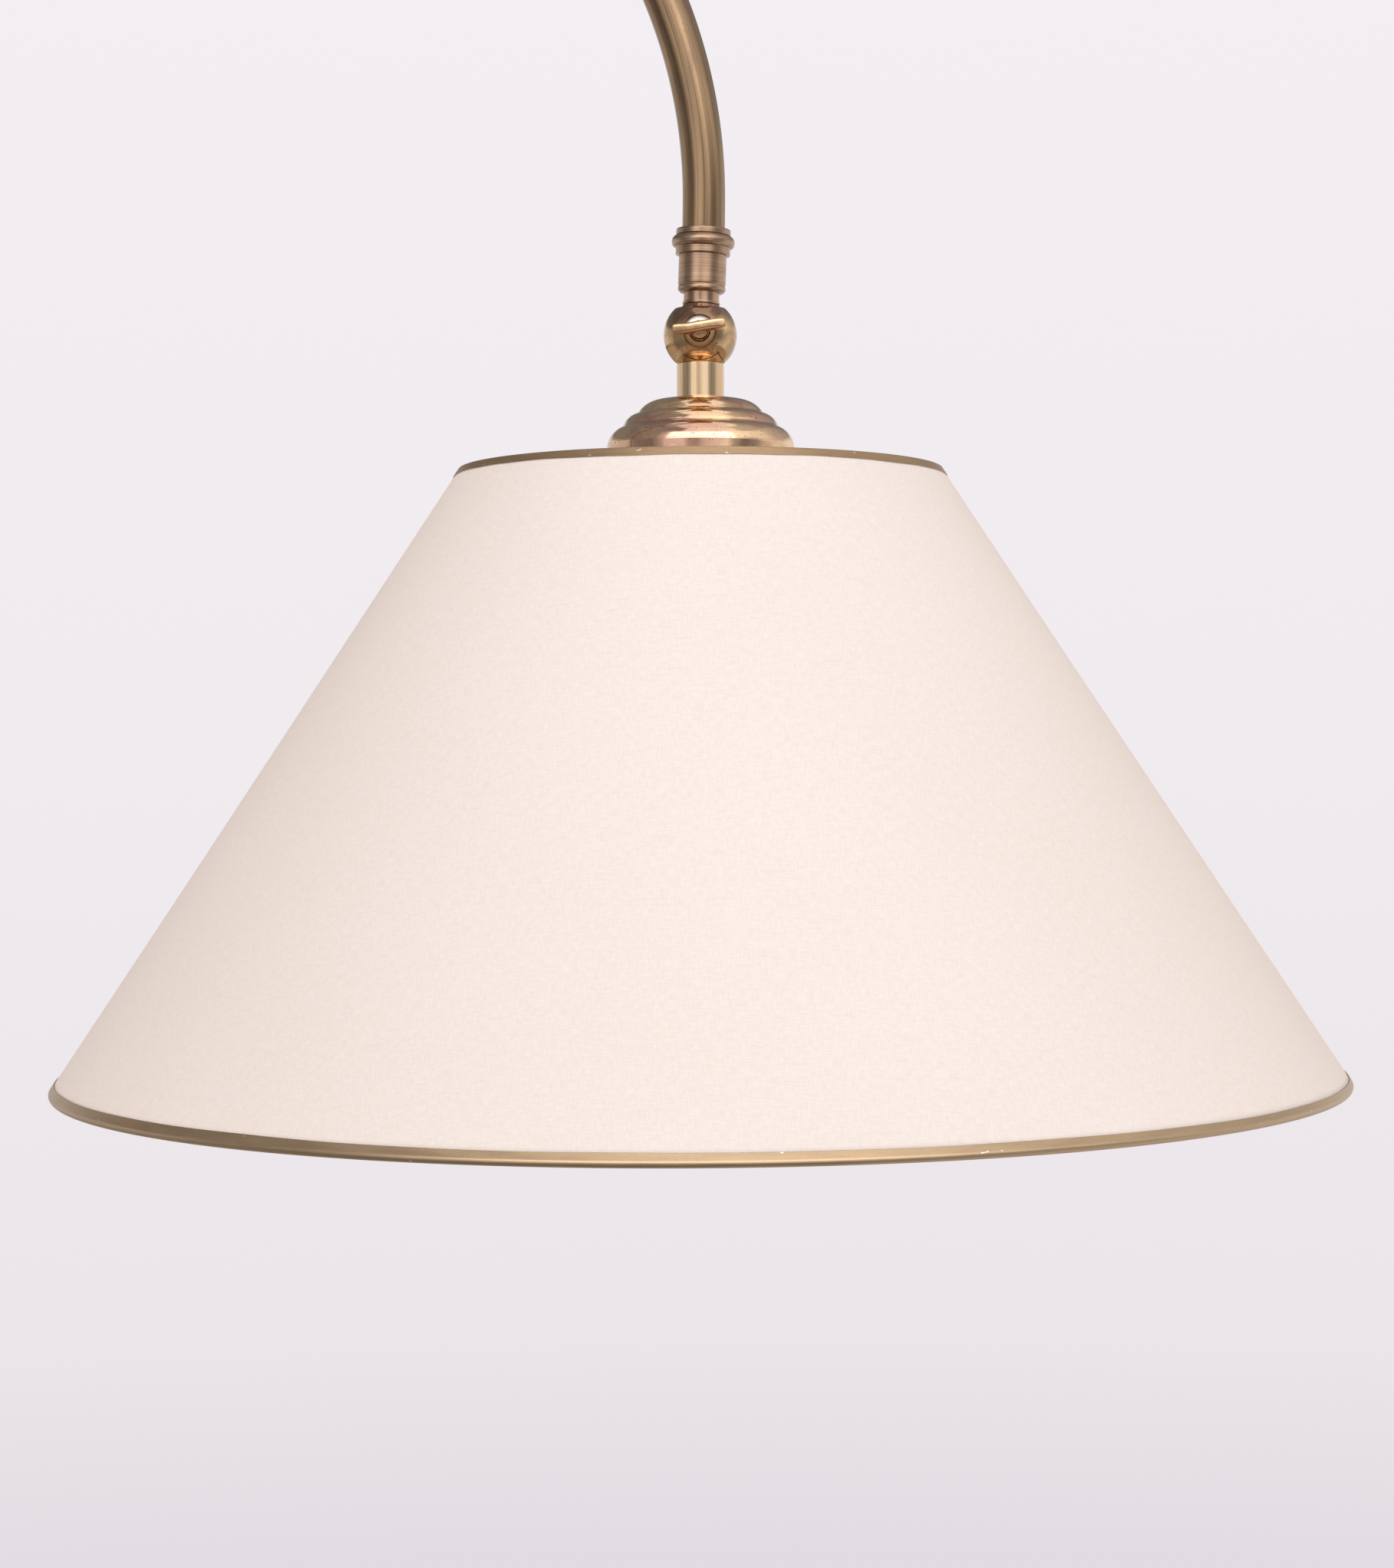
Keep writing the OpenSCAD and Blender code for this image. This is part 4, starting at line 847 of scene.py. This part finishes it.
studio = {  # what the metals see
    # by the direction's height
    "backdrop": [(-0.26, colour(226, 219, 226)), (-0.195, colour(235, 229, 233)),
                 (0.0, colour(240, 235, 239)), (0.24, colour(243, 238, 242))],
    "backdropEnd": 0.3,
    # bands of (degrees round from the camera's side, right positive; brightness)
    "level": [(-180, 0.8), (-136, 0.78), (-104, 0.68), (-86, 0.3), (-62, 0.24), (-50, 0.5),
              (-42, 1.0), (-22, 1.1), (-12, 0.55), (-4, 0.5), (6, 0.9), (14, 1.08), (32, 1.05),
              (44, 0.42), (56, 0.24), (72, 0.36), (88, 0.74), (104, 0.9), (140, 0.95),
              (180, 0.8)],
    "above": [(-180, 0.2), (-120, 0.24), (-90, 0.3), (-60, 0.36), (-46, 0.8), (-38, 2.9),
              (40, 2.9), (48, 1.4), (60, 1.1), (90, 0.9), (120, 0.6), (180, 0.2)],
    "high": [(-180, 0.2), (-110, 0.3), (-96, 0.34), (-30, 0.34), (-22, 1.3), (50, 1.25),
             (76, 0.6), (105, 0.5), (180, 0.2)],
    "below": [(-180, 0.5), (-120, 0.4), (-80, 0.22), (-40, 0.24), (40, 0.24), (66, 0.6),
              (100, 0.85), (140, 0.7), (180, 0.5)],
    # heights of the direction between which a band gives way to the next
    "toAbove": (0.2, 0.32), "toHigh": (0.68, 0.76), "toCeiling": (0.9, 0.94),
    "toBelow": (-0.12, -0.4),
    "ceiling": (0.5, 1.1), "ceilingEdge": (-0.3, -0.24),  # left of the softbox's edge, and in it
    "brightest": 3.0, "ambient": (0.49, 0.418, 0.362), "lampTint": (0.93, 0.995, 1.07),
}


def addWorld(v):
    # The camera sees a pale backdrop all round; metals see softboxes, dark gaps and the backdrop
    # behind, read by the direction's angle round and its height; other light is even and soft
    world = bpy.data.worlds.new("studio")
    bpy.context.scene.world = world
    world.use_nodes = True
    tree = world.node_tree
    tree.nodes.clear()

    def wire(value, socket):
        if isinstance(value, bpy.types.NodeSocket):
            tree.links.new(value, socket)
        else:
            socket.default_value = value

    def node(kind, *inputs, **settings):
        n = tree.nodes.new("ShaderNode" + kind)
        for key, value in settings.items():
            setattr(n, key, value)
        for socket, value in zip(n.inputs, inputs):
            wire(value, socket)
        return n.outputs[0]

    def smooth(value, fromTo):
        # 0 to 1 as the value goes from the first limit to the second, eased at both
        return node("MapRange", value, *fromTo, interpolation_type="SMOOTHSTEP")

    def blend(factor, a, b):
        # Colour mixed from a to b by the factor
        n = node("Mix", factor, data_type="RGBA").node
        wire(a, n.inputs[6])
        wire(b, n.inputs[7])
        return n.outputs[2]

    def ramp(factor, stops, ease):
        # Colours by a factor from 0 to 1; places come first, because they sort the elements
        n = node("ValToRGB", factor).node
        n.color_ramp.interpolation = ease
        elements = n.color_ramp.elements
        while len(elements) < len(stops):
            elements.new(0.5)
        for element, (place, tone) in zip(elements, stops):
            element.position = place
        for element, (place, tone) in zip(elements, stops):
            element.color = tone
        return n.outputs["Color"]

    def grey(light):
        # A brightness as a colour from 0 to 1, which the background's strength undoes
        return (light / v["brightest"],) * 3 + (1,)

    way = tree.nodes.new("ShaderNodeTexCoord").outputs["Generated"]
    parts = node("SeparateXYZ", way).node.outputs
    toCamera = node("Math", parts["Y"], -1.0, operation="MULTIPLY")
    turn = node("Math", parts["X"], toCamera, operation="ARCTAN2")
    turn = node("MapRange", turn, -math.pi, math.pi)  # half a turn left to half a turn right
    level, above, high, below = (
        ramp(turn, [(degrees / 360 + 0.5, grey(light)) for degrees, light in v[band]], "EASE")
        for band in ("level", "above", "high", "below"))
    seen = blend(smooth(parts["Z"], v["toAbove"]), level,
                 blend(smooth(parts["Z"], v["toHigh"]), above, high))
    seen = blend(smooth(parts["Z"], v["toBelow"]), seen, below)
    ceiling = blend(smooth(parts["X"], v["ceilingEdge"]), *map(grey, v["ceiling"]))
    seen = blend(smooth(parts["Z"], v["toCeiling"]), seen, ceiling)
    end = v["backdropEnd"]
    back = ramp(node("MapRange", parts["Z"], -end, end),
                [(z / (2 * end) + 0.5, tone) for z, tone in v["backdrop"]], "LINEAR")
    path = tree.nodes.new("ShaderNodeLightPath").outputs
    metal = node("Math", path["Is Glossy Ray"], path["Is Transmission Ray"], operation="MAXIMUM")
    soft = node("Background", (*v["ambient"], 1), 1.0)
    reflected = node("Background", seen, v["brightest"])
    plain = node("Background", back, 1.0)
    seenByRays = node("MixShader", metal, soft, reflected)
    shader = node("MixShader", path["Is Camera Ray"], seenByRays, plain)
    wire(shader, tree.nodes.new("ShaderNodeOutputWorld").inputs[0])


# azimuth from the camera's side (right is positive), elevation, distance, size, power
lampsOn = {
    "keyTop": (6, 52, 2.1, (1.5, 0.8), 15),
    "sideLeft": (-55, 6, 1.8, (0.3, 1.5), 4.5),
    "sideRight": (52, 4, 1.8, (0.3, 1.3), 5.5),
    "frontFill": (6, 14, 2.4, (1.6, 1.2), 9),
}


def addLamp(name, azimuth, elevation, distance, size, power):
    # A flat softbox that faces the ball from its direction and distance
    light = bpy.data.lights.new(name, "AREA")
    light.shape = "RECTANGLE"
    light.size, light.size_y = size
    light.energy = power
    light.color = studio["lampTint"]
    lamp = bpy.data.objects.new(name, light)
    lamp.visible_glossy = False  # metals see the softboxes of the world instead
    bpy.context.scene.collection.objects.link(lamp)
    a, e = math.radians(azimuth), math.radians(elevation)
    away = np.array([math.sin(a) * math.cos(e), -math.cos(a) * math.cos(e), math.sin(e)])
    lamp.location = ball + away * distance
    lamp.rotation_euler = (math.pi / 2 - e, 0, a)


floorHalf = 2.6  # metres: large enough for the shadow, and out of the photograph's frame


def addFloor(half):
    # Pale floor: a square of four faces
    x, y = np.meshgrid(np.linspace(-half, half, 3), np.linspace(-half, half, 3))
    points = np.stack([x.ravel(), y.ravel(), 0 * x.ravel()], -1)
    faces = np.array([[0, 1, 4, 3], [1, 2, 5, 4], [3, 4, 7, 6], [4, 5, 8, 7]])
    g = Graph("paleFloor")
    grain = g.noise(g.place("Object", (3, 3, 3)), 4.0)
    base = g.mix(g.spread(grain, 0.3, 0.7), colour(232, 228, 230), colour(226, 222, 224))
    g.finish({"Base Color": base, "Roughness": 0.8})
    floor = makeObject("floor", points, faces, material="paleFloor")
    floor.visible_glossy = False


addWorld(studio)
for name, facts in lampsOn.items():
    addLamp(name, *facts)
addFloor(floorHalf)
bpy.context.scene.view_settings.view_transform = "Standard"
print("studio lit")
